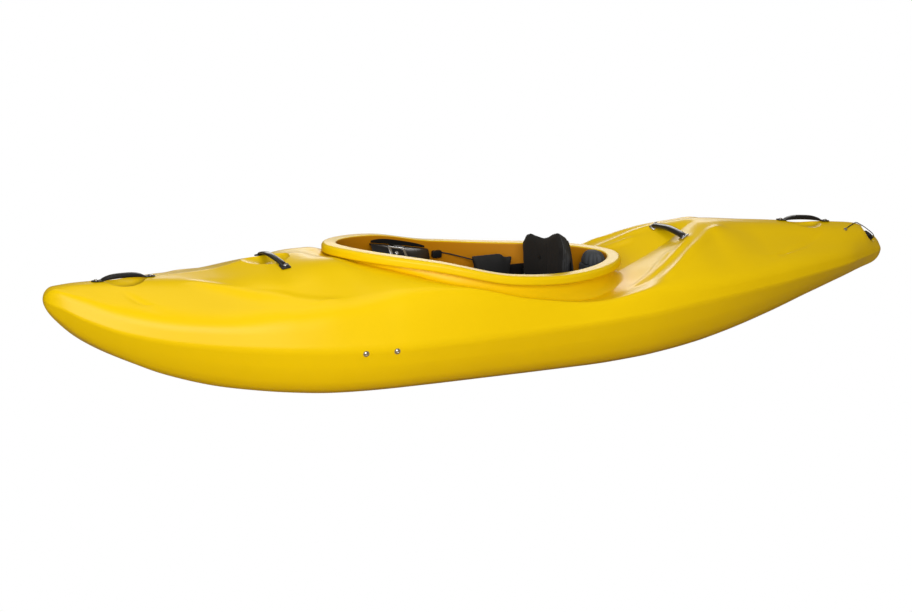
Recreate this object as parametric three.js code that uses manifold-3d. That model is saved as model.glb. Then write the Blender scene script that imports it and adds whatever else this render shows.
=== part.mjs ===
// Whitewater kayak: a one-piece moulded hull with its grab handles, security bars, drain plug and outfitting.
// Millimetres. +X runs to the bow, +Y to port and +Z up. The origin is under the middle of the flat bottom.
import * as THREE from 'three';
import { mergeVertices } from 'three/addons/utils/BufferGeometryUtils.js';
import Module from 'manifold-3d';

const wasm = await Module();
wasm.setup();

// Driving sizes of the hull
const HULL_LENGTH = 2750;
const HULL_BEAM = 670;
const HULL_DEPTH = 400;
const HULL_WALL = 5;
const FIT_GAP = 0.4;
const CUT_OVERRUN = 40;

// Driving sizes of the cockpit rim
const RIM_LENGTH = 867;
const RIM_BREADTH = 512;
const RIM_MIDDLE_X = 45.5;
const RIM_WIDTH = 43;
const RIM_THICKNESS = 27;
const RIM_ROUND = 9;
const RIM_WALL = 12;

const HALF_LENGTH = HULL_LENGTH / 2;
const HALF_BEAM = HULL_BEAM / 2;

// Finishes
const finish = (color, roughness, metalness = 0) => () =>
  new THREE.MeshStandardMaterial({ color, roughness, metalness });
const hullYellow = finish(0xf2c800, 0.35);
const blackPlastic = finish(0x1c1c1e, 0.5);
const blackFoam = finish(0x26282b, 0.9);
const steel = finish(0xb9bbbd, 0.3, 1);
const aluminium = finish(0x9fa2a5, 0.4, 1);
const webbing = finish(0x17171a, 0.85);

const kayak = new THREE.Group();
kayak.name = 'whitewater_kayak';

function addPart(name, geometry, material, parent = kayak) {
  const mesh = new THREE.Mesh(geometry, material());
  mesh.name = name;
  parent.add(mesh);
  return mesh;
}

// Solids for cutting and joining
function toSolid(geometry) {
  const bare = geometry.clone();
  for (const name of Object.keys(bare.attributes)) {
    if (name !== 'position') bare.deleteAttribute(name);
  }
  const merged = mergeVertices(bare, 1e-4);
  const vertProperties = new Float32Array(merged.attributes.position.array);
  const triVerts = new Uint32Array(merged.index.array);
  return new wasm.Manifold(new wasm.Mesh({ numProp: 3, vertProperties, triVerts }));
}

function toGeometry(solid) {
  const mesh = solid.getMesh();
  const positions = new Float32Array(mesh.numVert * 3);
  for (let i = 0; i < mesh.numVert; i += 1) {
    for (let axis = 0; axis < 3; axis += 1) {
      positions[3 * i + axis] = mesh.vertProperties[mesh.numProp * i + axis];
    }
  }
  const geometry = new THREE.BufferGeometry();
  geometry.setAttribute('position', new THREE.BufferAttribute(positions, 3));
  geometry.setIndex(new THREE.BufferAttribute(new Uint32Array(mesh.triVerts), 1));
  return geometry;
}

// A smooth curve through [position, value] pairs that never overshoots them
function lineThrough(positions, values) {
  const count = positions.length;
  const slopes = [];
  for (let i = 0; i < count - 1; i += 1) {
    slopes.push((values[i + 1] - values[i]) / (positions[i + 1] - positions[i]));
  }
  const tangents = [slopes[0]];
  for (let i = 1; i < count - 1; i += 1) {
    const before = slopes[i - 1];
    const after = slopes[i];
    const left = positions[i] - positions[i - 1];
    const right = positions[i + 1] - positions[i];
    const first = 2 * right + left;
    const second = right + 2 * left;
    tangents.push(before * after <= 0 ? 0 : (first + second) / (first / before + second / after));
  }
  tangents.push(slopes[count - 2]);
  return (at) => {
    let i = 0;
    while (i < count - 2 && at > positions[i + 1]) i += 1;
    const span = positions[i + 1] - positions[i];
    const t = (at - positions[i]) / span;
    const rest = 1 - t;
    return values[i] * (1 + 2 * t) * rest * rest + tangents[i] * span * t * rest * rest
      + values[i + 1] * t * t * (3 - 2 * t) - tangents[i + 1] * span * t * t * rest;
  };
}

// Table of offsets: each hull line as shares of the half length, the half beam and the depth
const stationShares = [-1, -0.975, -0.93, -0.86, -0.76, -0.64, -0.52, -0.44, -0.36, -0.28, -0.16, 0,
  0.16, 0.28, 0.34, 0.39, 0.44, 0.52, 0.64, 0.76, 0.86, 0.93, 0.975, 1];
const keelHeightShares = [0.51, 0.41, 0.38, 0.337, 0.267, 0.172, 0.095, 0.056, 0.03, 0.012, 0, 0,
  0, 0, 0.001, 0.003, 0.009, 0.03, 0.085, 0.193, 0.345, 0.49, 0.63, 0.79];
const bilgeBreadthShares = [0, 0.06, 0.13, 0.25, 0.38, 0.51, 0.63, 0.7, 0.755, 0.79, 0.815, 0.825,
  0.825, 0.815, 0.805, 0.785, 0.76, 0.69, 0.55, 0.385, 0.24, 0.14, 0.075, 0];
const bilgeHeightShares = [0.51, 0.425, 0.397, 0.355, 0.285, 0.189, 0.107, 0.064, 0.034, 0.013, 0, 0,
  0, 0, 0.002, 0.005, 0.012, 0.036, 0.097, 0.212, 0.368, 0.513, 0.652, 0.79];
const knuckleBreadthShares = [0, 0.105, 0.225, 0.395, 0.553, 0.707, 0.83, 0.89, 0.937, 0.97, 0.994, 1,
  0.992, 0.975, 0.955, 0.932, 0.905, 0.848, 0.725, 0.562, 0.388, 0.248, 0.135, 0];
const knuckleHeightShares = [0.51, 0.505, 0.505, 0.5, 0.49, 0.472, 0.455, 0.442, 0.425, 0.405, 0.392, 0.378,
  0.37, 0.367, 0.368, 0.372, 0.378, 0.395, 0.43, 0.483, 0.56, 0.655, 0.74, 0.79];
const shoulderBreadthShares = [0, 0.1, 0.215, 0.38, 0.535, 0.685, 0.805, 0.862, 0.9, 0.915, 0.925, 0.93,
  0.9, 0.865, 0.85, 0.842, 0.832, 0.79, 0.685, 0.53, 0.35, 0.205, 0.105, 0];
const shoulderHeightShares = [0.51, 0.54, 0.568, 0.59, 0.6, 0.6, 0.598, 0.595, 0.59, 0.57, 0.53, 0.605,
  0.725, 0.73, 0.705, 0.685, 0.668, 0.64, 0.632, 0.655, 0.7125, 0.795, 0.84, 0.79];
const ridgeBreadthShares = [0, 0.07, 0.15, 0.24, 0.3, 0.36, 0.29, 0.51, 0.715, 0.85, 0.87, 0.875,
  0.83, 0.72, 0.65, 0.62, 0.63, 0.62, 0.43, 0.25, 0.19, 0.13, 0.07, 0];
const ridgeHeightShares = [0.51, 0.585, 0.672, 0.685, 0.7, 0.735, 0.845, 0.785, 0.675, 0.588, 0.535, 0.607,
  0.745, 0.8, 0.8, 0.785, 0.765, 0.75, 0.785, 0.83, 0.82, 0.845, 0.865, 0.79];
const crestBreadthShares = [0, 0.035, 0.075, 0.12, 0.13, 0.13, 0.12, 0.29, 0.43, 0.58, 0.68, 0.78,
  0.71, 0.45, 0.36, 0.3, 0.36, 0.46, 0.33, 0.13, 0.1, 0.065, 0.035, 0];
const crestHeightShares = [0.51, 0.61, 0.715, 0.745, 0.79, 0.84, 0.885, 0.8, 0.66, 0.54, 0.505, 0.575,
  0.715, 0.845, 0.89, 0.94, 0.92, 0.855, 0.86, 0.872, 0.872, 0.878, 0.87, 0.79];
const topHeightShares = [0.51, 0.64, 0.735, 0.77, 0.808, 0.853, 0.885, 0.73, 0.605, 0.51, 0.49, 0.56,
  0.7, 0.85, 0.865, 0.9, 0.94, 0.952, 0.9, 0.876, 0.877, 0.88, 0.872, 0.79];

// Stations crowd towards the ends, so that bow and stern are round
const stationAngleShare = (share) => Math.asin(share) / (Math.PI / 2);
const stationPositions = stationShares.map(stationAngleShare);
const hullLine = (shares, size) => lineThrough(stationPositions, shares.map((share) => share * size));
const hullLines = [
  { breadth: null, height: hullLine(keelHeightShares, HULL_DEPTH), roundIn: 0, roundOut: 0 },
  {
    breadth: bilgeBreadthShares,
    height: hullLine(bilgeHeightShares, HULL_DEPTH),
    roundIn: 0.3,
    roundOut: 0.6,
  },
  {
    breadth: knuckleBreadthShares,
    height: hullLine(knuckleHeightShares, HULL_DEPTH),
    roundIn: 0.16,
    roundOut: 0.2,
  },
  {
    breadth: shoulderBreadthShares,
    height: hullLine(shoulderHeightShares, HULL_DEPTH),
    roundIn: 0.45,
    roundOut: 0.45,
  },
  {
    breadth: ridgeBreadthShares,
    height: hullLine(ridgeHeightShares, HULL_DEPTH),
    roundIn: 0.45,
    roundOut: 0.45,
  },
  {
    breadth: crestBreadthShares,
    height: hullLine(crestHeightShares, HULL_DEPTH),
    roundIn: 0.45,
    roundOut: 0.45,
  },
  { breadth: null, height: hullLine(topHeightShares, HULL_DEPTH), roundIn: 0, roundOut: 0 },
].map((line) => ({ ...line, breadth: line.breadth ? hullLine(line.breadth, HALF_BEAM) : () => 0 }));

// One half section, from the keel to the middle of the deck, with each corner rounded into its neighbours
function halfSection(angleShare, cornerSteps) {
  const corners = hullLines.map((line) => ({ y: line.breadth(angleShare), z: line.height(angleShare) }));
  const points = [corners[0]];
  for (let i = 1; i < corners.length - 1; i += 1) {
    const { roundIn, roundOut } = hullLines[i];
    const corner = corners[i];
    const start = {
      y: corner.y + (corners[i - 1].y - corner.y) * roundIn,
      z: corner.z + (corners[i - 1].z - corner.z) * roundIn,
    };
    const end = {
      y: corner.y + (corners[i + 1].y - corner.y) * roundOut,
      z: corner.z + (corners[i + 1].z - corner.z) * roundOut,
    };
    for (let step = 0; step <= cornerSteps[i - 1]; step += 1) {
      const t = step / cornerSteps[i - 1];
      const rest = 1 - t;
      points.push({
        y: rest * rest * start.y + 2 * t * rest * corner.y + t * t * end.y,
        z: rest * rest * start.z + 2 * t * rest * corner.z + t * t * end.z,
      });
    }
  }
  points.push(corners[corners.length - 1]);
  return points;
}

function hullRing(angleShare, cornerSteps) {
  const x = HALF_LENGTH * Math.sin(angleShare * Math.PI / 2);
  const half = halfSection(angleShare, cornerSteps);
  const port = half.map(({ y, z }) => new THREE.Vector3(x, y, z));
  const starboard = half.slice(1, -1).reverse().map(({ y, z }) => new THREE.Vector3(x, -y, z));
  return [...port, ...starboard];
}

// A closed skin over rings of equal count, with one point closing each end
function skinRings(rings, firstTip, lastTip) {
  const count = rings[0].length;
  const positions = [];
  rings.flat().forEach((point) => positions.push(point.x, point.y, point.z));
  const firstIndex = rings.length * count;
  positions.push(firstTip.x, firstTip.y, firstTip.z, lastTip.x, lastTip.y, lastTip.z);
  const faces = [];
  for (let i = 0; i < rings.length - 1; i += 1) {
    for (let j = 0; j < count; j += 1) {
      const next = (j + 1) % count;
      const a = i * count + j;
      const b = i * count + next;
      const c = (i + 1) * count + next;
      const d = (i + 1) * count + j;
      faces.push(a, b, c, a, c, d);
    }
  }
  const last = (rings.length - 1) * count;
  for (let j = 0; j < count; j += 1) {
    const next = (j + 1) % count;
    faces.push(firstIndex, next, j, firstIndex + 1, last + j, last + next);
  }
  const geometry = new THREE.BufferGeometry();
  geometry.setAttribute('position', new THREE.Float32BufferAttribute(positions, 3));
  geometry.setIndex(faces);
  return geometry;
}

const OUTER_STATIONS = 48;
const OUTER_CORNER_STEPS = [3, 2, 3, 2, 2];
const outerRings = [];
for (let i = 1; i < OUTER_STATIONS; i += 1) {
  outerRings.push(hullRing(-1 + (2 * i) / OUTER_STATIONS, OUTER_CORNER_STEPS));
}
const tipHeight = (share) => hullLines[0].height(share);
const outerSkin = skinRings(
  outerRings,
  new THREE.Vector3(-HALF_LENGTH, 0, tipHeight(-1)),
  new THREE.Vector3(HALF_LENGTH, 0, tipHeight(1)),
);

// Inside skin: the same lines, set in by the wall
const INNER_STATIONS = 37;
const INNER_CORNER_STEPS = [2, 1, 2, 2, 2];
const INNER_END_SHARE = 0.94;

function offsetSkin(inset, stations, cornerSteps, endShare) {
  const rings = [];
  for (let i = 0; i <= stations; i += 1) {
    rings.push(hullRing(endShare * (-1 + (2 * i) / stations), cornerSteps));
  }
  const moved = rings.map((ring, i) => ring.map((point, j) => {
    const alongBefore = rings[Math.max(i - 1, 0)][j];
    const alongAfter = rings[Math.min(i + 1, rings.length - 1)][j];
    const roundBefore = ring[(j + ring.length - 1) % ring.length];
    const roundAfter = ring[(j + 1) % ring.length];
    const along = new THREE.Vector3().subVectors(alongAfter, alongBefore);
    const round = new THREE.Vector3().subVectors(roundAfter, roundBefore);
    const inward = new THREE.Vector3().crossVectors(along, round).normalize();
    return point.clone().addScaledVector(inward, inset);
  }));
  const middleOf = (ring) => ring
    .reduce((sum, point) => sum.add(point), new THREE.Vector3())
    .divideScalar(ring.length);
  return skinRings(moved, middleOf(moved[0]), middleOf(moved[moved.length - 1]));
}

// Height of the outer skin over a point of the deck
const FINE_CORNER_STEPS = [2, 2, 6, 6, 6];
function deckHeight(x, y) {
  const half = halfSection(stationAngleShare(x / HALF_LENGTH), FINE_CORNER_STEPS);
  for (let i = half.length - 1; i > 0; i -= 1) {
    const inner = half[i];
    const outer = half[i - 1];
    if (outer.y >= Math.abs(y)) {
      const t = (Math.abs(y) - inner.y) / Math.max(outer.y - inner.y, Number.EPSILON);
      return inner.z + (outer.z - inner.z) * t;
    }
  }
  return half[0].z;
}

// Cockpit rim: an egg-shaped opening, a wall round it and a thick lip that holds a spray skirt
const RIM_FULLNESS = 1.72;
const RIM_TAPER_SHARE = -0.112;
const RIM_STEPS = 48;
const rimStationShares = [-1, -0.5, 0, 0.5, 1];
const rimHeightShares = [0.72, 0.7295, 0.7775, 0.9, 0.98];
const rimHeightAt = lineThrough(rimStationShares, rimHeightShares.map((share) => share * HULL_DEPTH));
const rimTop = (x) => rimHeightAt(THREE.MathUtils.clamp((x - RIM_MIDDLE_X) / (RIM_LENGTH / 2), -1, 1));

function rimHalfBreadth(x) {
  const share = THREE.MathUtils.clamp((x - RIM_MIDDLE_X) / (RIM_LENGTH / 2), -1, 1);
  const round = (1 - Math.abs(share) ** RIM_FULLNESS) ** (1 / RIM_FULLNESS);
  return (RIM_BREADTH / 2) * round * (1 + RIM_TAPER_SHARE * share);
}

function rimOutline(offset) {
  const points = [];
  for (let i = 0; i < RIM_STEPS; i += 1) {
    const angle = (2 * Math.PI * i) / RIM_STEPS;
    const x = RIM_MIDDLE_X + (RIM_LENGTH / 2) * Math.cos(angle);
    points.push(new THREE.Vector2(x, rimHalfBreadth(x) * Math.sign(Math.sin(angle)) || 0));
  }
  return points.map((point, i) => {
    const before = points[(i + RIM_STEPS - 1) % RIM_STEPS];
    const after = points[(i + 1) % RIM_STEPS];
    const normal = new THREE.Vector2(after.y - before.y, before.x - after.x).normalize();
    return point.clone().addScaledVector(normal, offset);
  });
}

// Lip section from the inner edge outwards, as [distance out, height under the rim top]
function lipSection() {
  const section = [];
  const edge = RIM_ROUND / 2;
  for (let step = 0; step <= 2; step += 1) {
    const angle = (Math.PI / 4) * step;
    section.push([edge * (1 - Math.cos(angle)), -edge * (1 - Math.sin(angle))]);
  }
  for (let step = 0; step <= 3; step += 1) {
    const angle = (Math.PI / 6) * step;
    section.push([RIM_WIDTH - RIM_ROUND * (1 - Math.sin(angle)), -RIM_ROUND * (1 - Math.cos(angle))]);
  }
  for (let step = 0; step <= 2; step += 1) {
    const angle = (Math.PI / 4) * step;
    section.push([
      RIM_WIDTH - edge * (1 - Math.cos(angle)),
      -RIM_THICKNESS + edge * (1 - Math.sin(angle)),
    ]);
  }
  section.push([RIM_WALL + edge, -RIM_THICKNESS]);
  section.push([RIM_WALL, -RIM_THICKNESS - edge]);
  return section;
}

const RIM_ROOT_SHARE = 0.6;
const TRIM_STEP = 0.3;

function rimSolid() {
  const section = lipSection();
  const outlines = section.map(([out]) => rimOutline(out));
  const innerEdge = rimOutline(0);
  const wallFoot = rimOutline(RIM_WALL);
  const rings = innerEdge.map((inner, i) => {
    const foot = wallFoot[i];
    const rootHeight = (point) => deckHeight(point.x, point.y) - HULL_WALL * RIM_ROOT_SHARE;
    const ring = section.map(([, drop], j) => {
      const point = outlines[j][i];
      return new THREE.Vector3(point.x, point.y, rimTop(inner.x) + drop);
    });
    ring.push(new THREE.Vector3(foot.x, foot.y, rootHeight(foot)));
    ring.push(new THREE.Vector3(inner.x, inner.y, rootHeight(inner)));
    return ring;
  });
  return closedLoop(rings);
}

// A closed band over rings that follow each other right round
function closedLoop(rings) {
  const count = rings[0].length;
  const positions = [];
  rings.flat().forEach((point) => positions.push(point.x, point.y, point.z));
  const faces = [];
  rings.forEach((ring, i) => {
    const nextRing = (i + 1) % rings.length;
    ring.forEach((point, j) => {
      const next = (j + 1) % count;
      const a = i * count + j;
      const b = nextRing * count + j;
      const c = nextRing * count + next;
      const d = i * count + next;
      faces.push(a, c, b, a, d, c);
    });
  });
  const geometry = new THREE.BufferGeometry();
  geometry.setAttribute('position', new THREE.Float32BufferAttribute(positions, 3));
  geometry.setIndex(faces);
  return toSolid(geometry);
}

function upright(outline, bottom, top) {
  const geometry = new THREE.ExtrudeGeometry(new THREE.Shape(outline), {
    depth: top - bottom,
    bevelEnabled: false,
  });
  geometry.translate(0, 0, bottom);
  return toSolid(geometry);
}

const COCKPIT_CUT_FROM = 130;
const cockpitCut = upright(rimOutline(-TRIM_STEP), COCKPIT_CUT_FROM, HULL_DEPTH + CUT_OVERRUN);
const rim = rimSolid();
const outer = toSolid(outerSkin);
const inner = toSolid(offsetSkin(HULL_WALL, INNER_STATIONS, INNER_CORNER_STEPS, INNER_END_SHARE));

// Solids that cut or join: a round bar along +Z, a box and a stretched ball, each about its own middle
function roundBar(radius, length, sides = 12) {
  const geometry = new THREE.CylinderGeometry(radius, radius, length, sides);
  return geometry.rotateX(Math.PI / 2);
}

function placed(geometry, { x = 0, y = 0, z = 0 }, turn = null) {
  const copy = geometry.clone();
  if (turn) copy.applyQuaternion(turn);
  return copy.translate(x, y, z);
}

const turned = (x, y, z) => new THREE.Quaternion().setFromEuler(new THREE.Euler(x, y, z));

function ball(radiusX, radiusY, radiusZ) {
  return new THREE.SphereGeometry(1, 16, 10).scale(radiusX, radiusY, radiusZ);
}

// Grab handles: where each stands on the deck and the hand dish under it
const HANDLE_LENGTH = 190;
const HANDLE_BOLT_SPACING = 162;
const HANDLE_WIDTH = 24;
const HANDLE_ARCH_LENGTH = 130;
const HANDLE_ARCH_RISE = 21;
const HANDLE_THICKNESS = 10;
const HANDLE_TAB_THICKNESS = 4;
const HAND_DISH_LENGTH = 124;
const HAND_DISH_BREADTH = 116;
const HAND_DISH_DEPTH = 26;
const handleShares = { bow: 0.827, stern: -0.7925 };

// Security bars across the deck, each a bent round bar with flat bolted feet
const BAR_SPAN = 180;
const BAR_DIAMETER = 11;
const BAR_FOOT_LENGTH = 40;
const BAR_FOOT_WIDTH = 22;
const BAR_FOOT_THICKNESS = 5;
const BAR_DISH_LENGTH = 150;
const BAR_DISH_BREADTH = 132;
const BAR_DISH_DEPTH = 27;
const BAR_DISH_AHEAD = 26;
const barShares = { front: 0.497, rear: -0.45 };
const barRises = { front: 28, rear: 17 };
const barBows = { front: 14, rear: 3 };

// Deck bolts
const BOLT_DIAMETER = 6;
const BOLT_HEAD_DIAMETER = 12;
const BOLT_HEAD_HEIGHT = 3;
const NUT_DIAMETER = 11;
const NUT_HEIGHT = 5;
const BOLT_CLEARANCE = 0.5;
const NUT_CLEARANCE = 4;
const BOLT_SIDES = 8;

// Drain plug at the stern, in a round recess square to the sloping end
const DRAIN_FROM_STERN = 57;
const DRAIN_Y = 22;
const DRAIN_TILT = THREE.MathUtils.degToRad(-44);
const DRAIN_RECESS_MOUTH = 31;
const DRAIN_RECESS_FLOOR = 23;
const DRAIN_RECESS_DEPTH = 15;
const DRAIN_HOLE_RADIUS = 12.5;

// Places of the deck fittings
const handles = Object.entries(handleShares).map(([name, share]) => {
  const x = share * HALF_LENGTH;
  const ahead = deckHeight(x + HANDLE_BOLT_SPACING / 2, 0);
  const behind = deckHeight(x - HANDLE_BOLT_SPACING / 2, 0);
  return { name, x, z: (ahead + behind) / 2, tilt: Math.atan2(behind - ahead, HANDLE_BOLT_SPACING) };
});
const sides = { port: 1, starboard: -1 };
const UP = new THREE.Vector3(0, 0, 1);
const SLOPE_STEP = 12;

// Turn that stands a fitting square to the deck at a point of it
function deckTurn(x, y) {
  const slopeX = deckHeight(x + SLOPE_STEP, y) - deckHeight(x - SLOPE_STEP, y);
  const slopeY = deckHeight(x, y + SLOPE_STEP) - deckHeight(x, y - SLOPE_STEP);
  const normal = new THREE.Vector3(-slopeX, -slopeY, 2 * SLOPE_STEP).normalize();
  return new THREE.Quaternion().setFromUnitVectors(UP, normal);
}

const bars = Object.entries(barShares).map(([name, share]) => {
  const x = share * HALF_LENGTH;
  const feet = Object.entries(sides).map(([sideName, side]) => {
    const y = (side * BAR_SPAN) / 2;
    const foot = new THREE.Vector3(x, y, deckHeight(x, y));
    const turn = deckTurn(x, y);
    return { sideName, foot, turn, normal: UP.clone().applyQuaternion(turn) };
  });
  return { name, x, z: deckHeight(x, BAR_SPAN / 2), rise: barRises[name], bow: barBows[name], feet };
});

function recessAt(geometry, position, growth, turn = null) {
  return toSolid(placed(geometry.clone().scale(growth.x, growth.y, growth.z), position, turn));
}

const handDish = ball(HAND_DISH_LENGTH / 2, HAND_DISH_BREADTH / 2, HAND_DISH_DEPTH);
const barDish = ball(BAR_DISH_LENGTH / 2, BAR_DISH_BREADTH / 2, BAR_DISH_DEPTH);
const grown = (length, breadth, depth) => new THREE.Vector3(
  1 + (2 * HULL_WALL) / length,
  1 + (2 * HULL_WALL) / breadth,
  1 + HULL_WALL / depth,
);
const plainSize = new THREE.Vector3(1, 1, 1);
const handDishGrown = grown(HAND_DISH_LENGTH, HAND_DISH_BREADTH, HAND_DISH_DEPTH);
const barDishGrown = grown(BAR_DISH_LENGTH, BAR_DISH_BREADTH, BAR_DISH_DEPTH);
const frontBar = bars[0];
const frontDishX = frontBar.x + BAR_DISH_AHEAD;
const frontDishPlace = { x: frontDishX, z: deckHeight(frontDishX, 0) };

// Drain recess: a shallow cone whose floor is square to the drain axis
const drainX = DRAIN_FROM_STERN - HALF_LENGTH;
const drainPlace = new THREE.Vector3(drainX, DRAIN_Y, deckHeight(drainX, DRAIN_Y));
const drainTurn = turned(0, DRAIN_TILT, 0);
const alongDrain = (distance) => new THREE.Vector3(0, 0, distance).applyQuaternion(drainTurn).add(drainPlace);
const drainCone = (growth) => {
  const depth = DRAIN_RECESS_DEPTH + CUT_OVERRUN;
  const slope = (DRAIN_RECESS_MOUTH - DRAIN_RECESS_FLOOR) / DRAIN_RECESS_DEPTH;
  const mouth = DRAIN_RECESS_FLOOR + slope * depth + growth;
  const cone = new THREE.CylinderGeometry(mouth, DRAIN_RECESS_FLOOR + growth, depth + growth, 20);
  cone.rotateX(Math.PI / 2);
  const middle = -DRAIN_RECESS_DEPTH + depth / 2 - growth / 2;
  return toSolid(placed(cone, alongDrain(middle), drainTurn));
};

// A closed body from corner positions and faces, turned so that its faces point out
function outwardGeometry(positions, faces) {
  let volume = 0;
  for (let i = 0; i < faces.length; i += 3) {
    const [a, b, c] = [0, 1, 2].map((k) => new THREE.Vector3().fromArray(positions, 3 * faces[i + k]));
    volume += a.dot(b.cross(c));
  }
  const geometry = new THREE.BufferGeometry();
  geometry.setAttribute('position', new THREE.Float32BufferAttribute(positions, 3));
  geometry.setIndex(volume < 0 ? [...faces].reverse() : faces);
  return geometry;
}

// A plate or pad between a back (side 0) and a front (side 1), each placed over the unit square
function slab(place, acrossSteps, alongSteps) {
  const positions = [];
  const faces = [];
  const rowLength = alongSteps + 1;
  const index = (i, j, side) => side * (acrossSteps + 1) * rowLength + i * rowLength + j;
  const quad = (a, b, c, d) => faces.push(a, b, c, a, c, d);
  for (const side of [0, 1]) {
    for (let i = 0; i <= acrossSteps; i += 1) {
      for (let j = 0; j <= alongSteps; j += 1) {
        const point = place(i / acrossSteps, j / alongSteps, side);
        positions.push(point.x, point.y, point.z);
      }
    }
  }
  for (let i = 0; i < acrossSteps; i += 1) {
    for (let j = 0; j < alongSteps; j += 1) {
      quad(index(i, j, 1), index(i + 1, j, 1), index(i + 1, j + 1, 1), index(i, j + 1, 1));
      quad(index(i, j, 0), index(i, j + 1, 0), index(i + 1, j + 1, 0), index(i + 1, j, 0));
    }
  }
  for (let i = 0; i < acrossSteps; i += 1) {
    quad(index(i, 0, 0), index(i + 1, 0, 0), index(i + 1, 0, 1), index(i, 0, 1));
    const next = i + 1;
    quad(index(next, alongSteps, 0), index(i, alongSteps, 0), index(i, alongSteps, 1), index(next, alongSteps, 1));
  }
  for (let j = 0; j < alongSteps; j += 1) {
    quad(index(0, j + 1, 0), index(0, j, 0), index(0, j, 1), index(0, j + 1, 1));
    const next = j + 1;
    quad(index(acrossSteps, j, 0), index(acrossSteps, next, 0), index(acrossSteps, next, 1), index(acrossSteps, j, 1));
  }
  return outwardGeometry(positions, faces);
}

// Fullness of a pad over the unit square: 1 over the middle and 0 along its edges
const CROWN_SHARE = 0.4;
const crown = (u, v) => (Math.sin(Math.PI * u) * Math.sin(Math.PI * v)) ** CROWN_SHARE;

// Profiles drawn across the boat and run along it, or drawn from the side and run across it
function alongX(shape, from, to, curveSegments = 6) {
  const geometry = new THREE.ExtrudeGeometry(shape, { depth: to - from, bevelEnabled: false, curveSegments });
  const across = new THREE.Vector3(0, 1, 0);
  const ahead = new THREE.Vector3(1, 0, 0);
  geometry.applyMatrix4(new THREE.Matrix4().makeBasis(across, UP, ahead));
  return geometry.translate(from, 0, 0);
}

function alongY(shape, from, to, curveSegments = 6) {
  const geometry = new THREE.ExtrudeGeometry(shape, { depth: to - from, bevelEnabled: false, curveSegments });
  return geometry.rotateX(Math.PI / 2).translate(0, to, 0);
}

// A round piece turned from [radius, height] points that start and end on its axis or close on themselves
function turnedPiece(outline, sidesRound) {
  const points = outline.map(([radius, height]) => new THREE.Vector2(radius, height));
  return new THREE.LatheGeometry(points, sidesRound).rotateX(Math.PI / 2);
}

// Deck bolts: a button head on a shank that a nut holds under the wall
function deckBolt(gripLength) {
  const half = BOLT_DIAMETER / 2;
  const head = BOLT_HEAD_DIAMETER / 2;
  const nut = NUT_DIAMETER / 2;
  return turnedPiece([
    [0, -gripLength - NUT_HEIGHT],
    [nut, -gripLength - NUT_HEIGHT],
    [nut, -gripLength],
    [half, -gripLength],
    [half, 0],
    [head, 0],
    [head * 0.8, BOLT_HEAD_HEIGHT * 0.7],
    [0, BOLT_HEAD_HEIGHT],
  ], BOLT_SIDES);
}

const boltHole = (length) => roundBar(BOLT_DIAMETER / 2 + BOLT_CLEARANCE, length, BOLT_SIDES);

// Footrest tracks inside the hull, each held by two bolts through the side
const TRACK_BOLT_SPACING = 92;
const TRACK_MIDDLE_SHARE = 0.35345;
const TRACK_MIDDLE_Z = 138;
const TRACK_LENGTH = 150;
const TRACK_HEIGHT = 34;
const TRACK_FACE_Y = 266;
const TRACK_LIP = 2;
const TRACK_MOUTH_HEIGHT = 14;
const SIDE_BOLT_REACH = 13;
const WASHER_DIAMETER = 18;
const WASHER_THICKNESS = 1.6;

const trackMiddleX = TRACK_MIDDLE_SHARE * HALF_LENGTH;

// Half breadth of the outer skin at a height below the shoulder
function sideBreadth(x, z) {
  const half = halfSection(stationAngleShare(x / HALF_LENGTH), OUTER_CORNER_STEPS);
  for (let i = 1; i < half.length; i += 1) {
    if (half[i].z >= z) {
      const low = half[i - 1];
      const high = half[i];
      return low.y + (high.y - low.y) * ((z - low.z) / (high.z - low.z));
    }
  }
  return 0;
}

function sideNormal(x, z) {
  const slopeX = sideBreadth(x + SLOPE_STEP, z) - sideBreadth(x - SLOPE_STEP, z);
  const slopeZ = sideBreadth(x, z + SLOPE_STEP) - sideBreadth(x, z - SLOPE_STEP);
  return new THREE.Vector3(-slopeX, 2 * SLOPE_STEP, -slopeZ).normalize();
}

const sideBolts = Object.entries(sides).flatMap(([sideName, side]) => (
  Object.entries({ aft: -1, forward: 1 }).map(([placeName, end]) => {
    const x = trackMiddleX + (end * TRACK_BOLT_SPACING) / 2;
    const mirror = new THREE.Vector3(1, side, 1);
    const place = new THREE.Vector3(x, sideBreadth(x, TRACK_MIDDLE_Z), TRACK_MIDDLE_Z).multiply(mirror);
    const normal = sideNormal(x, TRACK_MIDDLE_Z).multiply(mirror);
    const turn = new THREE.Quaternion().setFromUnitVectors(UP, normal);
    return { name: `side_bolt_${sideName}_${placeName}`, place, normal, turn };
  })
));

// Hull shell: one hollow moulding with the dishes, the drain recess, the cockpit opening and its rim
let outerBody = outer.add(rim);
let innerBody = inner;
for (const { x, z, tilt } of handles) {
  const turn = turned(0, tilt, 0);
  outerBody = outerBody.subtract(recessAt(handDish, { x, z }, plainSize, turn));
  innerBody = innerBody.subtract(recessAt(handDish, { x, z }, handDishGrown, turn));
}
outerBody = outerBody.subtract(recessAt(barDish, frontDishPlace, plainSize));
innerBody = innerBody.subtract(recessAt(barDish, frontDishPlace, barDishGrown));
outerBody = outerBody.subtract(drainCone(0));
innerBody = innerBody.subtract(drainCone(HULL_WALL));
let shell = outerBody.subtract(innerBody).subtract(cockpitCut);

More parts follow.
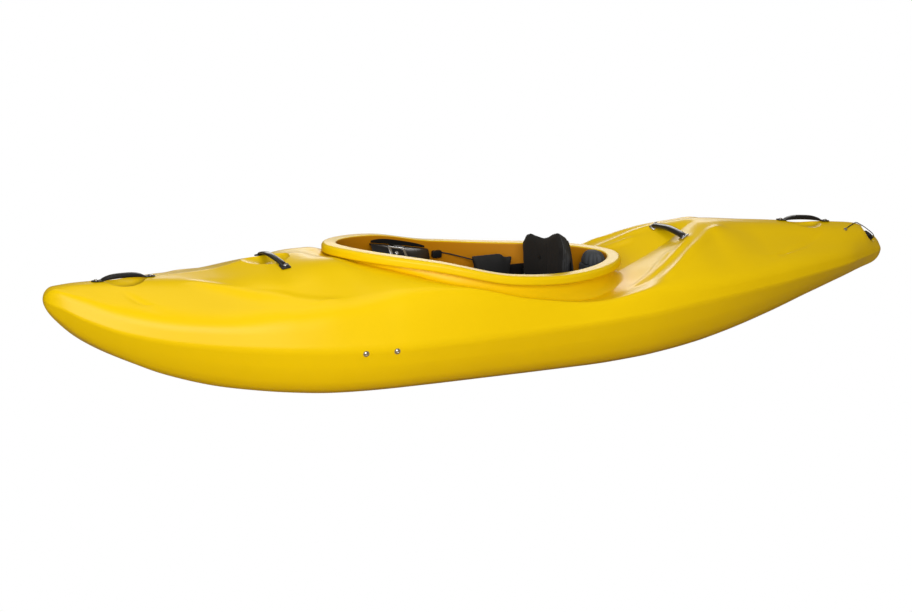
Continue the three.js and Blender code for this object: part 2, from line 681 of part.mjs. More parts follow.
// Holes for the bolts and the drain plug
const HOLE_LENGTH = 4 * HULL_WALL;
for (const { x, z, tilt } of handles) {
  for (const end of [-1, 1]) {
    const along = (end * HANDLE_BOLT_SPACING) / 2;
    const place = { x: x + along * Math.cos(tilt), z: z - along * Math.sin(tilt) };
    shell = shell.subtract(toSolid(placed(boltHole(HOLE_LENGTH), place, turned(0, tilt, 0))));
  }
}
for (const { feet } of bars) {
  for (const { foot, turn } of feet) {
    shell = shell.subtract(toSolid(placed(boltHole(HOLE_LENGTH), foot, turn)));
  }
}
for (const { place, turn } of sideBolts) {
  shell = shell.subtract(toSolid(placed(boltHole(HOLE_LENGTH), place, turn)));
}
const DRAIN_SIDES = 14;
const drainHole = roundBar(DRAIN_HOLE_RADIUS, HOLE_LENGTH, DRAIN_SIDES);
shell = shell.subtract(toSolid(placed(drainHole, alongDrain(-DRAIN_RECESS_DEPTH), drainTurn)));

// Screw hole for the anchor of the plug leash
const ANCHOR_FROM_STERN = 162;
const ANCHOR_Y = 50;
const ANCHOR_DEPTH = 5;
const anchorX = ANCHOR_FROM_STERN - HALF_LENGTH;
const anchorPlace = new THREE.Vector3(anchorX, ANCHOR_Y, deckHeight(anchorX, ANCHOR_Y));
const anchorTurn = deckTurn(anchorX, ANCHOR_Y);
const anchorHole = placed(boltHole(2 * ANCHOR_DEPTH + 2 * BOLT_CLEARANCE), anchorPlace, anchorTurn);
shell = shell.subtract(toSolid(anchorHole));
addPart('hull_shell', toGeometry(shell), hullYellow);

// Grab handles: one moulded strap each, arched over its hand dish and bolted through both ends
function grabHandle() {
  const end = HANDLE_LENGTH / 2;
  const root = HANDLE_ARCH_LENGTH / 2;
  const flat = HANDLE_TAB_THICKNESS;
  const under = HANDLE_ARCH_RISE - HANDLE_THICKNESS;
  const shape = new THREE.Shape();
  shape.moveTo(-end, 0);
  shape.lineTo(-root, 0);
  shape.quadraticCurveTo(-root / 2, under, 0, under);
  shape.quadraticCurveTo(root / 2, under, root, 0);
  shape.lineTo(end, 0);
  shape.lineTo(end, flat);
  shape.lineTo(root, flat);
  shape.quadraticCurveTo(root / 2, HANDLE_ARCH_RISE, 0, HANDLE_ARCH_RISE);
  shape.quadraticCurveTo(-root / 2, HANDLE_ARCH_RISE, -root, flat);
  shape.lineTo(-end, flat);
  shape.closePath();
  let solid = toSolid(alongY(shape, -HANDLE_WIDTH / 2, HANDLE_WIDTH / 2, 4));
  const plan = new THREE.Shape();
  plan.absarc(end - HANDLE_WIDTH / 2, 0, HANDLE_WIDTH / 2, -Math.PI / 2, Math.PI / 2);
  plan.absarc(HANDLE_WIDTH / 2 - end, 0, HANDLE_WIDTH / 2, Math.PI / 2, (3 * Math.PI) / 2);
  solid = solid.intersect(upright(plan.getPoints(4), -HANDLE_ARCH_RISE, 2 * HANDLE_ARCH_RISE));
  for (const side of [-1, 1]) {
    const place = { x: (side * HANDLE_BOLT_SPACING) / 2 };
    solid = solid.subtract(toSolid(placed(boltHole(HOLE_LENGTH), place)));
  }
  return toGeometry(solid);
}

for (const { name, x, z, tilt } of handles) {
  const stand = new THREE.Group();
  stand.position.set(x, 0, z);
  stand.rotation.y = tilt;
  kayak.add(stand);
  addPart(`${name}_grab_handle`, grabHandle(), blackPlastic, stand).position.z = FIT_GAP;
  for (const [place, end] of Object.entries({ aft: -1, forward: 1 })) {
    const grip = FIT_GAP + HANDLE_TAB_THICKNESS + FIT_GAP + HULL_WALL + NUT_CLEARANCE;
    const bolt = addPart(`${name}_handle_bolt_${place}`, deckBolt(grip), steel, stand);
    bolt.position.set((end * HANDLE_BOLT_SPACING) / 2, 0, 2 * FIT_GAP + HANDLE_TAB_THICKNESS);
  }
}

// Security bars: a bent round bar over a finger space, with a flat foot at each end
const BAR_STEPS = 10;
const BAR_SIDES = 8;
const FOOT_SIDES = 10;
const FOOT_LIFT = 1.2;
const barPathShares = [[-1, 0, 0], [-0.72, 0.45, 0.3], [0, 1, 1], [0.72, 0.45, 0.3], [1, 0, 0]];

function securityBar({ x, z, rise, bow, feet }) {
  const half = BAR_SPAN / 2;
  const lift = FOOT_LIFT + BAR_FOOT_THICKNESS / 2;
  const path = new THREE.CatmullRomCurve3(barPathShares.map(([across, up, ahead]) => (
    new THREE.Vector3(x + bow * ahead, across * half, z + lift + (rise - lift) * up)
  )));
  const section = new THREE.Shape().absarc(0, 0, BAR_DIAMETER / 2, 0, 2 * Math.PI);
  const rod = new THREE.ExtrudeGeometry(section, {
    steps: BAR_STEPS,
    extrudePath: path,
    curveSegments: BAR_SIDES / 2,
  });
  let solid = toSolid(rod);
  const pad = new THREE.CylinderGeometry(1, 1, BAR_FOOT_THICKNESS, FOOT_SIDES);
  pad.rotateX(Math.PI / 2).scale(BAR_FOOT_LENGTH / 2, BAR_FOOT_WIDTH / 2, 1);
  const below = new THREE.BoxGeometry(BAR_FOOT_LENGTH, BAR_FOOT_LENGTH, BAR_FOOT_LENGTH);
  const headRoom = roundBar(BOLT_HEAD_DIAMETER / 2 + BOLT_CLEARANCE, BAR_FOOT_LENGTH, BOLT_SIDES);
  for (const { foot, turn, normal } of feet) {
    const at = (height) => foot.clone().addScaledVector(normal, height);
    solid = solid.add(toSolid(placed(pad, at(lift), turn)));
    solid = solid.subtract(toSolid(placed(below, at(FOOT_LIFT - BAR_FOOT_LENGTH / 2), turn)));
    solid = solid.subtract(toSolid(placed(boltHole(HOLE_LENGTH), foot, turn)));
    const headFrom = FOOT_LIFT + BAR_FOOT_THICKNESS;
    solid = solid.subtract(toSolid(placed(headRoom, at(headFrom + BAR_FOOT_LENGTH / 2), turn)));
  }
  return toGeometry(solid);
}

for (const bar of bars) {
  addPart(`${bar.name}_security_bar`, securityBar(bar), blackPlastic);
  for (const { sideName, foot, turn, normal } of bar.feet) {
    const seat = FOOT_LIFT + BAR_FOOT_THICKNESS + FIT_GAP;
    const grip = seat + HULL_WALL + NUT_CLEARANCE;
    const bolt = addPart(`${bar.name}_bar_bolt_${sideName}`, deckBolt(grip), steel);
    bolt.position.copy(foot).addScaledVector(normal, seat);
    bolt.quaternion.copy(turn);
  }
}

// Side bolts: a button head and washer outside the hull, screwed into the track inside
function sideBolt() {
  const half = BOLT_DIAMETER / 2;
  const head = BOLT_HEAD_DIAMETER / 2;
  const headTop = WASHER_THICKNESS + BOLT_HEAD_HEIGHT;
  return turnedPiece([
    [0, -HULL_WALL - SIDE_BOLT_REACH],
    [half, -HULL_WALL - SIDE_BOLT_REACH],
    [half, 0],
    [WASHER_DIAMETER / 2, 0],
    [WASHER_DIAMETER / 2, WASHER_THICKNESS],
    [head, WASHER_THICKNESS],
    [head * 0.8, headTop - BOLT_HEAD_HEIGHT * 0.3],
    [0, headTop],
  ], BOLT_SIDES);
}

const BOLT_SEAT = 0.8;
for (const { name, place, normal, turn } of sideBolts) {
  const bolt = addPart(name, sideBolt(), steel);
  bolt.position.copy(place).addScaledVector(normal, BOLT_SEAT);
  bolt.quaternion.copy(turn);
}

// The space inside the hull, less a fit gap, which trims what lies against the wall
const roomInside = toSolid(
  offsetSkin(HULL_WALL + FIT_GAP, INNER_STATIONS, INNER_CORNER_STEPS, INNER_END_SHARE),
);

function box(from, to) {
  const size = new THREE.Vector3().subVectors(to, from);
  const middle = new THREE.Vector3().addVectors(from, to).multiplyScalar(0.5);
  return new THREE.BoxGeometry(size.x, size.y, size.z).translate(middle.x, middle.y, middle.z);
}

const mirrored = (x, y, z, side) => new THREE.Vector3(x, y * side, z);

function boxOn(side, from, to) {
  const low = mirrored(from.x, side > 0 ? from.y : to.y, from.z, side);
  const high = mirrored(to.x, side > 0 ? to.y : from.y, to.z, side);
  return toSolid(box(low, high));
}

// Footrest: a padded plate on two flat arms that slide in lipped tracks
const ARM_THICKNESS = 4;
const ARM_HEIGHT = 22;
const ARM_BEHIND_MIDDLE = 61;
const ARM_BEND_AHEAD = 148;
const PLATE_AHEAD = 290;
const PLATE_THICKNESS = 12;
const PLATE_HALF_TOP = 198;
const PLATE_HALF_BOTTOM = 160;
const PLATE_BOTTOM_Z = 72;
const PLATE_TOP_Z = 246;
const PLATE_CORNER = 34;
const ARM_TAB = 50;
const FOOT_PAD_THICKNESS = 20;

const plateX = trackMiddleX + PLATE_AHEAD;
const slotHeight = ARM_HEIGHT + 2 * FIT_GAP;
const slotOuterY = TRACK_FACE_Y + TRACK_LIP + ARM_THICKNESS + 2 * FIT_GAP;
const armMiddleY = TRACK_FACE_Y + TRACK_LIP + FIT_GAP + ARM_THICKNESS / 2;

for (const [sideName, side] of Object.entries(sides)) {
  const fromX = trackMiddleX - TRACK_LENGTH / 2;
  const toX = trackMiddleX + TRACK_LENGTH / 2;
  const middle = TRACK_MIDDLE_Z;
  let track = boxOn(
    side,
    new THREE.Vector3(fromX, TRACK_FACE_Y, middle - TRACK_HEIGHT / 2),
    new THREE.Vector3(toX, HALF_BEAM, middle + TRACK_HEIGHT / 2),
  ).intersect(roomInside);
  track = track.subtract(boxOn(
    side,
    new THREE.Vector3(fromX - CUT_OVERRUN, TRACK_FACE_Y + TRACK_LIP, middle - slotHeight / 2),
    new THREE.Vector3(toX + CUT_OVERRUN, slotOuterY, middle + slotHeight / 2),
  ));
  track = track.subtract(boxOn(
    side,
    new THREE.Vector3(fromX - CUT_OVERRUN, TRACK_FACE_Y - CUT_OVERRUN, middle - TRACK_MOUTH_HEIGHT / 2),
    new THREE.Vector3(toX + CUT_OVERRUN, slotOuterY - ARM_THICKNESS / 2, middle + TRACK_MOUTH_HEIGHT / 2),
  ));
  for (const { place, turn } of sideBolts.filter(({ name }) => name.startsWith(`side_bolt_${sideName}`))) {
    const depth = 2 * (HULL_WALL + SIDE_BOLT_REACH + 2 * BOLT_CLEARANCE);
    track = track.subtract(toSolid(placed(boltHole(depth), place, turn)));
  }
  addPart(`footrest_track_${sideName}`, toGeometry(track), blackPlastic);
}

// A flat strip of even thickness that follows points of a plan
function stripShape(points, thickness) {
  const left = [];
  const right = [];
  points.forEach((point, i) => {
    const before = points[Math.max(i - 1, 0)];
    const after = points[Math.min(i + 1, points.length - 1)];
    const first = new THREE.Vector2().subVectors(point, before).normalize();
    const second = new THREE.Vector2().subVectors(after, point).normalize();
    if (i === 0) first.copy(second);
    if (i === points.length - 1) second.copy(first);
    const mean = new THREE.Vector2().addVectors(first, second).normalize();
    const miter = new THREE.Vector2(-mean.y, mean.x).multiplyScalar(thickness / 2 / mean.dot(first));
    left.push(new THREE.Vector2().addVectors(point, miter));
    right.push(new THREE.Vector2().subVectors(point, miter));
  });
  return [...left, ...right.reverse()];
}

const armOutY = PLATE_HALF_TOP + ARM_THICKNESS;
const armBackX = plateX + PLATE_THICKNESS + FIT_GAP + ARM_THICKNESS / 2;
for (const [sideName, side] of Object.entries(sides)) {
  const plan = stripShape([
    new THREE.Vector2(trackMiddleX - ARM_BEHIND_MIDDLE, armMiddleY),
    new THREE.Vector2(trackMiddleX + ARM_BEND_AHEAD, armMiddleY),
    new THREE.Vector2(plateX - ARM_THICKNESS, armOutY),
    new THREE.Vector2(armBackX, armOutY),
    new THREE.Vector2(armBackX, armOutY - ARM_TAB),
  ], ARM_THICKNESS).map((point) => new THREE.Vector2(point.x, side * point.y));
  const arm = upright(plan, TRACK_MIDDLE_Z - ARM_HEIGHT / 2, TRACK_MIDDLE_Z + ARM_HEIGHT / 2);
  addPart(`footrest_arm_${sideName}`, toGeometry(arm), aluminium);
}

function plateShape(inset) {
  const top = PLATE_TOP_Z - inset;
  const bottom = PLATE_BOTTOM_Z + inset;
  const wide = PLATE_HALF_TOP - inset;
  const narrow = PLATE_HALF_BOTTOM - inset;
  const shape = new THREE.Shape();
  shape.moveTo(-narrow + PLATE_CORNER, bottom);
  shape.lineTo(narrow - PLATE_CORNER, bottom);
  shape.quadraticCurveTo(narrow, bottom, narrow + PLATE_CORNER / 4, bottom + PLATE_CORNER);
  shape.lineTo(wide, top - PLATE_CORNER);
  shape.quadraticCurveTo(wide, top, wide - PLATE_CORNER, top);
  shape.lineTo(-wide + PLATE_CORNER, top);
  shape.quadraticCurveTo(-wide, top, -wide, top - PLATE_CORNER);
  shape.lineTo(-narrow - PLATE_CORNER / 4, bottom + PLATE_CORNER);
  shape.quadraticCurveTo(-narrow, bottom, -narrow + PLATE_CORNER, bottom);
  return shape;
}

addPart('footrest_plate', alongX(plateShape(0), plateX, plateX + PLATE_THICKNESS, 4), blackPlastic);

const FOOT_PAD_INSET = 14;
const PAD_EDGE = 5;
const footPad = slab((u, v, side) => {
  const z = THREE.MathUtils.lerp(PLATE_BOTTOM_Z + FOOT_PAD_INSET, PLATE_TOP_Z - FOOT_PAD_INSET, v);
  const half = THREE.MathUtils.lerp(PLATE_HALF_BOTTOM, PLATE_HALF_TOP, v) - FOOT_PAD_INSET;
  const back = plateX - FIT_GAP;
  const fullness = PAD_EDGE + (FOOT_PAD_THICKNESS - PAD_EDGE) * crown(u, v);
  return { x: side ? back - fullness : back, y: half * (2 * u - 1), z };
}, 8, 6);
addPart('footrest_pad', footPad, blackFoam);

// Foam pillars that hold the deck up off the floor, one at each end
const PILLAR_BREADTH = 84;
const PILLAR_POST_DEPTH = 60;
const pillarShares = { bowFrom: 0.658, bowTo: 0.88, sternFrom: -0.8364 };
const PILLAR_FRONT_HEIGHT = 293;
const PILLAR_FRONT_ROUND = 38;

const fullHeight = (from, to, breadth) => toSolid(box(
  new THREE.Vector3(from, -breadth / 2, -CUT_OVERRUN),
  new THREE.Vector3(to, breadth / 2, HULL_DEPTH + CUT_OVERRUN),
));
const dishGap = (length, breadth, depth) => new THREE.Vector3(
  1 + (2 * (HULL_WALL + FIT_GAP)) / length,
  1 + (2 * (HULL_WALL + FIT_GAP)) / breadth,
  1 + (HULL_WALL + FIT_GAP) / depth,
);
const handDishGap = dishGap(HAND_DISH_LENGTH, HAND_DISH_BREADTH, HAND_DISH_DEPTH);

// Room round the nut under each bolt of the grab handles
const NUT_ROOM = 3;
function clearOfHandles(solid) {
  let cleared = solid;
  for (const { x, z, tilt } of handles) {
    const turn = turned(0, tilt, 0);
    cleared = cleared.subtract(recessAt(handDish, { x, z }, handDishGap, turn));
    for (const end of [-1, 1]) {
      const along = (end * HANDLE_BOLT_SPACING) / 2;
      const place = { x: x + along * Math.cos(tilt), z: z - along * Math.sin(tilt) };
      const room = roundBar(NUT_DIAMETER / 2 + NUT_ROOM, 2 * HOLE_LENGTH, BOLT_SIDES);
      cleared = cleared.subtract(toSolid(placed(room, place, turn)));
    }
  }
  return cleared;
}

const bowRoom = fullHeight(
  pillarShares.bowFrom * HALF_LENGTH,
  pillarShares.bowTo * HALF_LENGTH,
  PILLAR_BREADTH,
);
const bowPillar = clearOfHandles(bowRoom.intersect(roomInside));
addPart('bow_foam_pillar', toGeometry(bowPillar), blackFoam);

// The stern pillar ends in a rounded post in the open rear of the cockpit
const openingRearX = RIM_MIDDLE_X - RIM_LENGTH / 2;
const postFrontX = openingRearX + PILLAR_POST_DEPTH;
const postShape = new THREE.Shape();
const postFoot = PILLAR_FRONT_HEIGHT - PILLAR_FRONT_ROUND;
const postBack = openingRearX + FIT_GAP;
postShape.moveTo(postBack, -CUT_OVERRUN);
postShape.lineTo(postFrontX, -CUT_OVERRUN);
postShape.lineTo(postFrontX, postFoot);
postShape.quadraticCurveTo(postFrontX, PILLAR_FRONT_HEIGHT, (postFrontX + postBack) / 2, PILLAR_FRONT_HEIGHT);
postShape.quadraticCurveTo(postBack, PILLAR_FRONT_HEIGHT, postBack, postFoot);
postShape.closePath();
const sternRoom = fullHeight(pillarShares.sternFrom * HALF_LENGTH, postFrontX, PILLAR_BREADTH);
const belowDeck = sternRoom.intersect(roomInside);
const postRoom = upright(rimOutline(-RIM_ROUND / 2), COCKPIT_CUT_FROM + HULL_WALL, HULL_DEPTH);
const postArch = new THREE.Shape();
postArch.moveTo(-PILLAR_BREADTH / 2, 0);
postArch.lineTo(PILLAR_BREADTH / 2, 0);
postArch.lineTo(PILLAR_BREADTH / 2, postFoot);
postArch.quadraticCurveTo(PILLAR_BREADTH / 2, PILLAR_FRONT_HEIGHT, 0, PILLAR_FRONT_HEIGHT);
postArch.quadraticCurveTo(-PILLAR_BREADTH / 2, PILLAR_FRONT_HEIGHT, -PILLAR_BREADTH / 2, postFoot);
const post = toSolid(alongY(postShape, -PILLAR_BREADTH / 2, PILLAR_BREADTH / 2, 5))
  .intersect(toSolid(alongX(postArch, openingRearX, postFrontX + FIT_GAP, 5)))
  .intersect(postRoom);
const sternPillar = clearOfHandles(belowDeck.add(post));
addPart('stern_foam_pillar', toGeometry(sternPillar), blackFoam);

// Seat: a pan with tall side wings that slides on two floor tracks
const SEAT_TRACK_Y = 110;
const SEAT_TRACK_FROM = -215;
const SEAT_TRACK_TO = 95;
const SEAT_TRACK_FOOT = 34;
const SEAT_TRACK_WEB = 16;
const SEAT_TRACK_FLANGE = 4;
const SEAT_TRACK_HEIGHT = 14;
const PAN_WALL = 5;
const PAN_TO_RIM = 29.7;
const PAN_CORNER = 42;
const PAN_FROM = -250;
const PAN_TO = 80;
const WING_HEIGHT = 235;
const WING_FROM = -226;
const WING_TO = -62;
const PAN_BACK_HEIGHT = 110;
const PAN_FRONT_HEIGHT = 46;
const PIN_X = -212;
const PIN_Z = 213;
const PIN_RADIUS = 4;
const PIN_CLEARANCE = 0.4;
const PIN_SIDES = 12;

const floorTop = HULL_WALL + FIT_GAP;
const panHalf = rimHalfBreadth(PIN_X) - PAN_TO_RIM;
const panBottom = floorTop + SEAT_TRACK_HEIGHT + FIT_GAP;
const panTop = panBottom + PAN_WALL;

for (const [sideName, side] of Object.entries(sides)) {
  const middle = side * SEAT_TRACK_Y;
  const section = new THREE.Shape([
    new THREE.Vector2(middle - SEAT_TRACK_FOOT / 2, floorTop),
    new THREE.Vector2(middle + SEAT_TRACK_FOOT / 2, floorTop),
    new THREE.Vector2(middle + SEAT_TRACK_FOOT / 2, floorTop + SEAT_TRACK_FLANGE),
    new THREE.Vector2(middle + SEAT_TRACK_WEB / 2, floorTop + SEAT_TRACK_FLANGE),
    new THREE.Vector2(middle + SEAT_TRACK_WEB / 2, floorTop + SEAT_TRACK_HEIGHT),
    new THREE.Vector2(middle - SEAT_TRACK_WEB / 2, floorTop + SEAT_TRACK_HEIGHT),
    new THREE.Vector2(middle - SEAT_TRACK_WEB / 2, floorTop + SEAT_TRACK_FLANGE),
    new THREE.Vector2(middle - SEAT_TRACK_FOOT / 2, floorTop + SEAT_TRACK_FLANGE),
  ]);
  addPart(`seat_track_${sideName}`, alongX(section, SEAT_TRACK_FROM, SEAT_TRACK_TO), blackPlastic);
}

function panSection() {
  const turnY = panHalf - PAN_CORNER;
  const turnZ = panBottom + PAN_CORNER;
  const innerRound = PAN_CORNER - PAN_WALL;
  const shape = new THREE.Shape();
  shape.moveTo(-panHalf, WING_HEIGHT);
  shape.lineTo(-panHalf, turnZ);
  shape.absarc(-turnY, turnZ, PAN_CORNER, Math.PI, 1.5 * Math.PI);
  shape.absarc(turnY, turnZ, PAN_CORNER, 1.5 * Math.PI, 2 * Math.PI);
  shape.lineTo(panHalf, WING_HEIGHT);
  shape.lineTo(panHalf - PAN_WALL, WING_HEIGHT);
  shape.lineTo(panHalf - PAN_WALL, turnZ);
  shape.absarc(turnY, turnZ, innerRound, 2 * Math.PI, 1.5 * Math.PI, true);
  shape.absarc(-turnY, turnZ, innerRound, 1.5 * Math.PI, Math.PI, true);
  shape.lineTo(-panHalf + PAN_WALL, WING_HEIGHT);
  shape.closePath();
  return shape;
}

function panProfile() {
  const shape = new THREE.Shape();
  shape.moveTo(PAN_FROM, 0);
  shape.lineTo(PAN_TO, 0);
  shape.lineTo(PAN_TO, PAN_FRONT_HEIGHT);
  shape.bezierCurveTo(PAN_TO / 2, PAN_FRONT_HEIGHT, WING_TO / 2, WING_HEIGHT * 0.6, WING_TO, WING_HEIGHT);
  shape.lineTo(WING_FROM, WING_HEIGHT);
  shape.quadraticCurveTo(PAN_FROM, WING_HEIGHT * 0.75, PAN_FROM, PAN_BACK_HEIGHT);
  shape.closePath();
  return shape;
}

const pinHole = roundBar(PIN_RADIUS + PIN_CLEARANCE, 4 * panHalf, PIN_SIDES);
pinHole.rotateX(Math.PI / 2).translate(PIN_X, 0, PIN_Z);
const pan = toSolid(alongX(panSection(), PAN_FROM, PAN_TO))
  .intersect(toSolid(alongY(panProfile(), -2 * panHalf, 2 * panHalf)))
  .subtract(toSolid(pinHole));
addPart('seat_pan', toGeometry(pan), blackPlastic);

const SEAT_PAD_FROM = -205;
const SEAT_PAD_TO = 68;
const SEAT_PAD_INSET = 51;
const SEAT_PAD_HEIGHT = 24;
const SEAT_PAD_WAIST = 8;
const seatPad = slab((u, v, side) => {
  const x = THREE.MathUtils.lerp(SEAT_PAD_FROM, SEAT_PAD_TO, u);
  const half = panHalf - SEAT_PAD_INSET - SEAT_PAD_WAIST * Math.sin(Math.PI * u);
  const bottom = panTop + FIT_GAP;
  const top = bottom + PAD_EDGE + (SEAT_PAD_HEIGHT - PAD_EDGE) * crown(u, v);
  return { x, y: half * (2 * v - 1), z: side ? top : bottom };
}, 10, 8);
addPart('seat_pad', seatPad, blackFoam);

// Hip pads against the inside of the wings
const HIP_PAD_FROM = -165;
const HIP_PAD_TO = -22;
const HIP_PAD_LOW = 128;
const HIP_PAD_HIGH = 276;
const HIP_PAD_SLOPE = 16;
const HIP_PAD_THICKNESS = 30;
const HIP_PAD_WAIST = 10;
for (const [sideName, side] of Object.entries(sides)) {
  const hipPad = slab((u, v, front) => {
    const waist = HIP_PAD_WAIST * Math.sin(Math.PI * v);
    const x = THREE.MathUtils.lerp(HIP_PAD_FROM + waist, HIP_PAD_TO - waist - HIP_PAD_WAIST * v, u);
    const back = panHalf - PAN_WALL - FIT_GAP;
    const fullness = PAD_EDGE + (HIP_PAD_THICKNESS - PAD_EDGE) * crown(u, v);
    const high = HIP_PAD_HIGH - HIP_PAD_SLOPE * (1 - u);
    const z = THREE.MathUtils.lerp(HIP_PAD_LOW, high, v);
    return mirrored(x, front ? back - fullness : back, z, side);
  }, 8, 6);
  addPart(`hip_pad_${sideName}`, hipPad, blackFoam);
}

// Backband: a curved shell with a pad, on two pins through the wings, its webbing pulled higher on one side
const BAND_BOTTOM = 198;
const BAND_HEIGHT = 160;
const BAND_INSET = 20;
const BAND_INSET_LOW = 33;
const BAND_EDGE_X = -190;
const BAND_SWEEP = 16;
const BAND_SHELL = 5;
const BAND_PAD = 38;
const BAND_PAD_EDGE = 28;
const BAND_LOBE_Y = 100;
const BAND_NOTCH = 14;
const BAND_CORNER_DROP = 66;
const BAND_ROLL = 35;
const BOSS_RADIUS = 10;
const BOSS_LENGTH = 38;
const PIN_REACH = 24;
const PIN_HEAD_RADIUS = 8;
const PIN_HEAD_THICKNESS = 4;

const bandHalf = panHalf - BAND_INSET;

function bandPlace(u, v, behind) {
  const across = 2 * u - 1;
  const half = panHalf - THREE.MathUtils.lerp(BAND_INSET_LOW, BAND_INSET, v);
  const y = across * half;
  const notch = Math.abs(y) < BAND_LOBE_Y ? BAND_NOTCH * Math.cos((Math.PI * y) / (2 * BAND_LOBE_Y)) ** 2 : 0;
  const past = Math.max(0, (Math.abs(y) - BAND_LOBE_Y) / (bandHalf - BAND_LOBE_Y));
  const roll = (BAND_ROLL * THREE.MathUtils.clamp(y, -BAND_LOBE_Y, BAND_LOBE_Y)) / bandHalf;
  const height = BAND_HEIGHT - notch - BAND_CORNER_DROP * past ** 2 + roll;
  const sweep = BAND_SWEEP * (1 - across ** 2);
  return { x: BAND_EDGE_X - sweep - behind, y, z: BAND_BOTTOM + v * height };
}

const BAND_COLUMNS = 20;
const BAND_ROWS = 5;
const bandPad = slab((u, v, front) => {
  const thickness = BAND_PAD_EDGE + (BAND_PAD - BAND_PAD_EDGE) * crown(u, v);
  const across = (1 + u * (BAND_COLUMNS - 2)) / BAND_COLUMNS;
  return bandPlace(across, v, front ? BAND_PAD / 2 - thickness : BAND_PAD / 2);
}, BAND_COLUMNS - 2, BAND_ROWS);
addPart('backband_pad', bandPad, blackFoam);

const bossOuterY = panHalf - PAN_WALL - 2 * FIT_GAP;
let bandShell = toSolid(slab((u, v, front) => (
  bandPlace(u, v, BAND_PAD / 2 + FIT_GAP + (front ? 0 : BAND_SHELL))
), BAND_COLUMNS, BAND_ROWS));
for (const side of Object.values(sides)) {
  const boss = roundBar(BOSS_RADIUS, BOSS_LENGTH, PIN_SIDES).rotateX(Math.PI / 2);
  const middle = { x: PIN_X, y: side * (bossOuterY - BOSS_LENGTH / 2), z: PIN_Z };
  bandShell = bandShell.add(toSolid(placed(boss, middle)));
}
bandShell = bandShell.subtract(toSolid(pinHole));
addPart('backband_shell', toGeometry(bandShell), blackPlastic);

for (const [sideName, side] of Object.entries(sides)) {
  const headFrom = panHalf + FIT_GAP;
  const pin = turnedPiece([
    [0, bossOuterY - PIN_REACH],
    [PIN_RADIUS, bossOuterY - PIN_REACH],
    [PIN_RADIUS, headFrom],
    [PIN_HEAD_RADIUS, headFrom],
    [PIN_HEAD_RADIUS, headFrom + PIN_HEAD_THICKNESS],
    [0, headFrom + PIN_HEAD_THICKNESS],
  ], PIN_SIDES);
  pin.rotateX((-side * Math.PI) / 2).translate(PIN_X, 0, PIN_Z);
  addPart(`backband_pin_${sideName}`, pin, steel);
}

// Cleats on the rim wall and the adjuster cords that pull the backband from them
const CLEAT_X = 45;
const CLEAT_LENGTH = 30;
const CLEAT_DEPTH = 14;
const CLEAT_HEIGHT = 22;
const CLEAT_Z = 272;
const WALL_STANDOFF = 2.6;
const CORD_DIAMETER = 4;
const CORD_PIN_GAP = 0.6;
const CORD_STRAIGHT = 50;
const CORD_STEPS = 12;

for (const [sideName, side] of Object.entries(sides)) {
  const wallY = rimHalfBreadth(CLEAT_X) - WALL_STANDOFF;
  const cordY = wallY - CLEAT_DEPTH / 2;
  const shape = new THREE.Shape();
  const half = CLEAT_LENGTH / 2;
  shape.moveTo(CLEAT_X - half, CLEAT_Z - CLEAT_HEIGHT / 2);
  shape.lineTo(CLEAT_X + half, CLEAT_Z - CLEAT_HEIGHT / 2);
  shape.lineTo(CLEAT_X + half, CLEAT_Z + CLEAT_HEIGHT / 4);
  shape.quadraticCurveTo(CLEAT_X + half, CLEAT_Z + CLEAT_HEIGHT / 2, CLEAT_X, CLEAT_Z + CLEAT_HEIGHT / 2);
  const sternEnd = CLEAT_X - half;
  shape.quadraticCurveTo(sternEnd, CLEAT_Z + CLEAT_HEIGHT / 2, sternEnd, CLEAT_Z + CLEAT_HEIGHT / 4);
  shape.closePath();
  const low = side > 0 ? wallY - CLEAT_DEPTH : -wallY;
  const bore = roundBar(CORD_DIAMETER / 2 + BOLT_CLEARANCE + FIT_GAP, CLEAT_LENGTH, 8).rotateY(Math.PI / 2);
  const cleat = toSolid(alongY(shape, low, low + CLEAT_DEPTH))
    .subtract(toSolid(placed(bore, { x: CLEAT_X - CLEAT_LENGTH / 2, y: side * cordY, z: CLEAT_Z })));
  addPart(`cord_cleat_${sideName}`, toGeometry(cleat), blackPlastic);

  const endY = panHalf + FIT_GAP + PIN_HEAD_THICKNESS + CORD_PIN_GAP + CORD_DIAMETER / 2;
  const route = new THREE.CatmullRomCurve3([
    mirrored(CLEAT_X - FIT_GAP, cordY, CLEAT_Z, side),
    mirrored(CLEAT_X - CLEAT_LENGTH, cordY, CLEAT_Z, side),
    mirrored((CLEAT_X + PIN_X) / 2, (cordY + endY) / 2, (CLEAT_Z + PIN_Z) / 2, side),
    mirrored(PIN_X + CORD_STRAIGHT, endY, PIN_Z, side),
    mirrored(PIN_X + CORD_STRAIGHT / 2, endY, PIN_Z, side),
    mirrored(PIN_X, endY, PIN_Z, side),
  ]);
  const section = new THREE.Shape().absarc(0, 0, CORD_DIAMETER / 2, 0, 2 * Math.PI);
  const sweepAlong = { steps: CORD_STEPS, extrudePath: route, curveSegments: 4 };
  const cord = new THREE.ExtrudeGeometry(section, sweepAlong);
  addPart(`adjuster_cord_${sideName}`, cord, webbing);
}

// Thigh braces: hooked plates under the rim, each held in a steel clip on the rim wall
const BRACE_FROM = 78;
const BRACE_TO = 300;
const BRACE_THICKNESS = 5;
const BRACE_EDGE_DEPTH = 26;
const BRACE_MIDDLE_DEPTH = 62;
const BRACE_DROP = 24;
const BRACE_HOOK = 30;
const BRACE_PAD_THICKNESS = 14;
const CLIP_THICKNESS = 2.5;
const CLIP_TOP_DROP = 9;
const CLIP_STANDOFF = 1.1;
const clipShares = { from: 0.44, to: 0.63, reach: 0.42 };
const BRACE_COLUMNS = 10;
const BRACE_ROWS = 4;

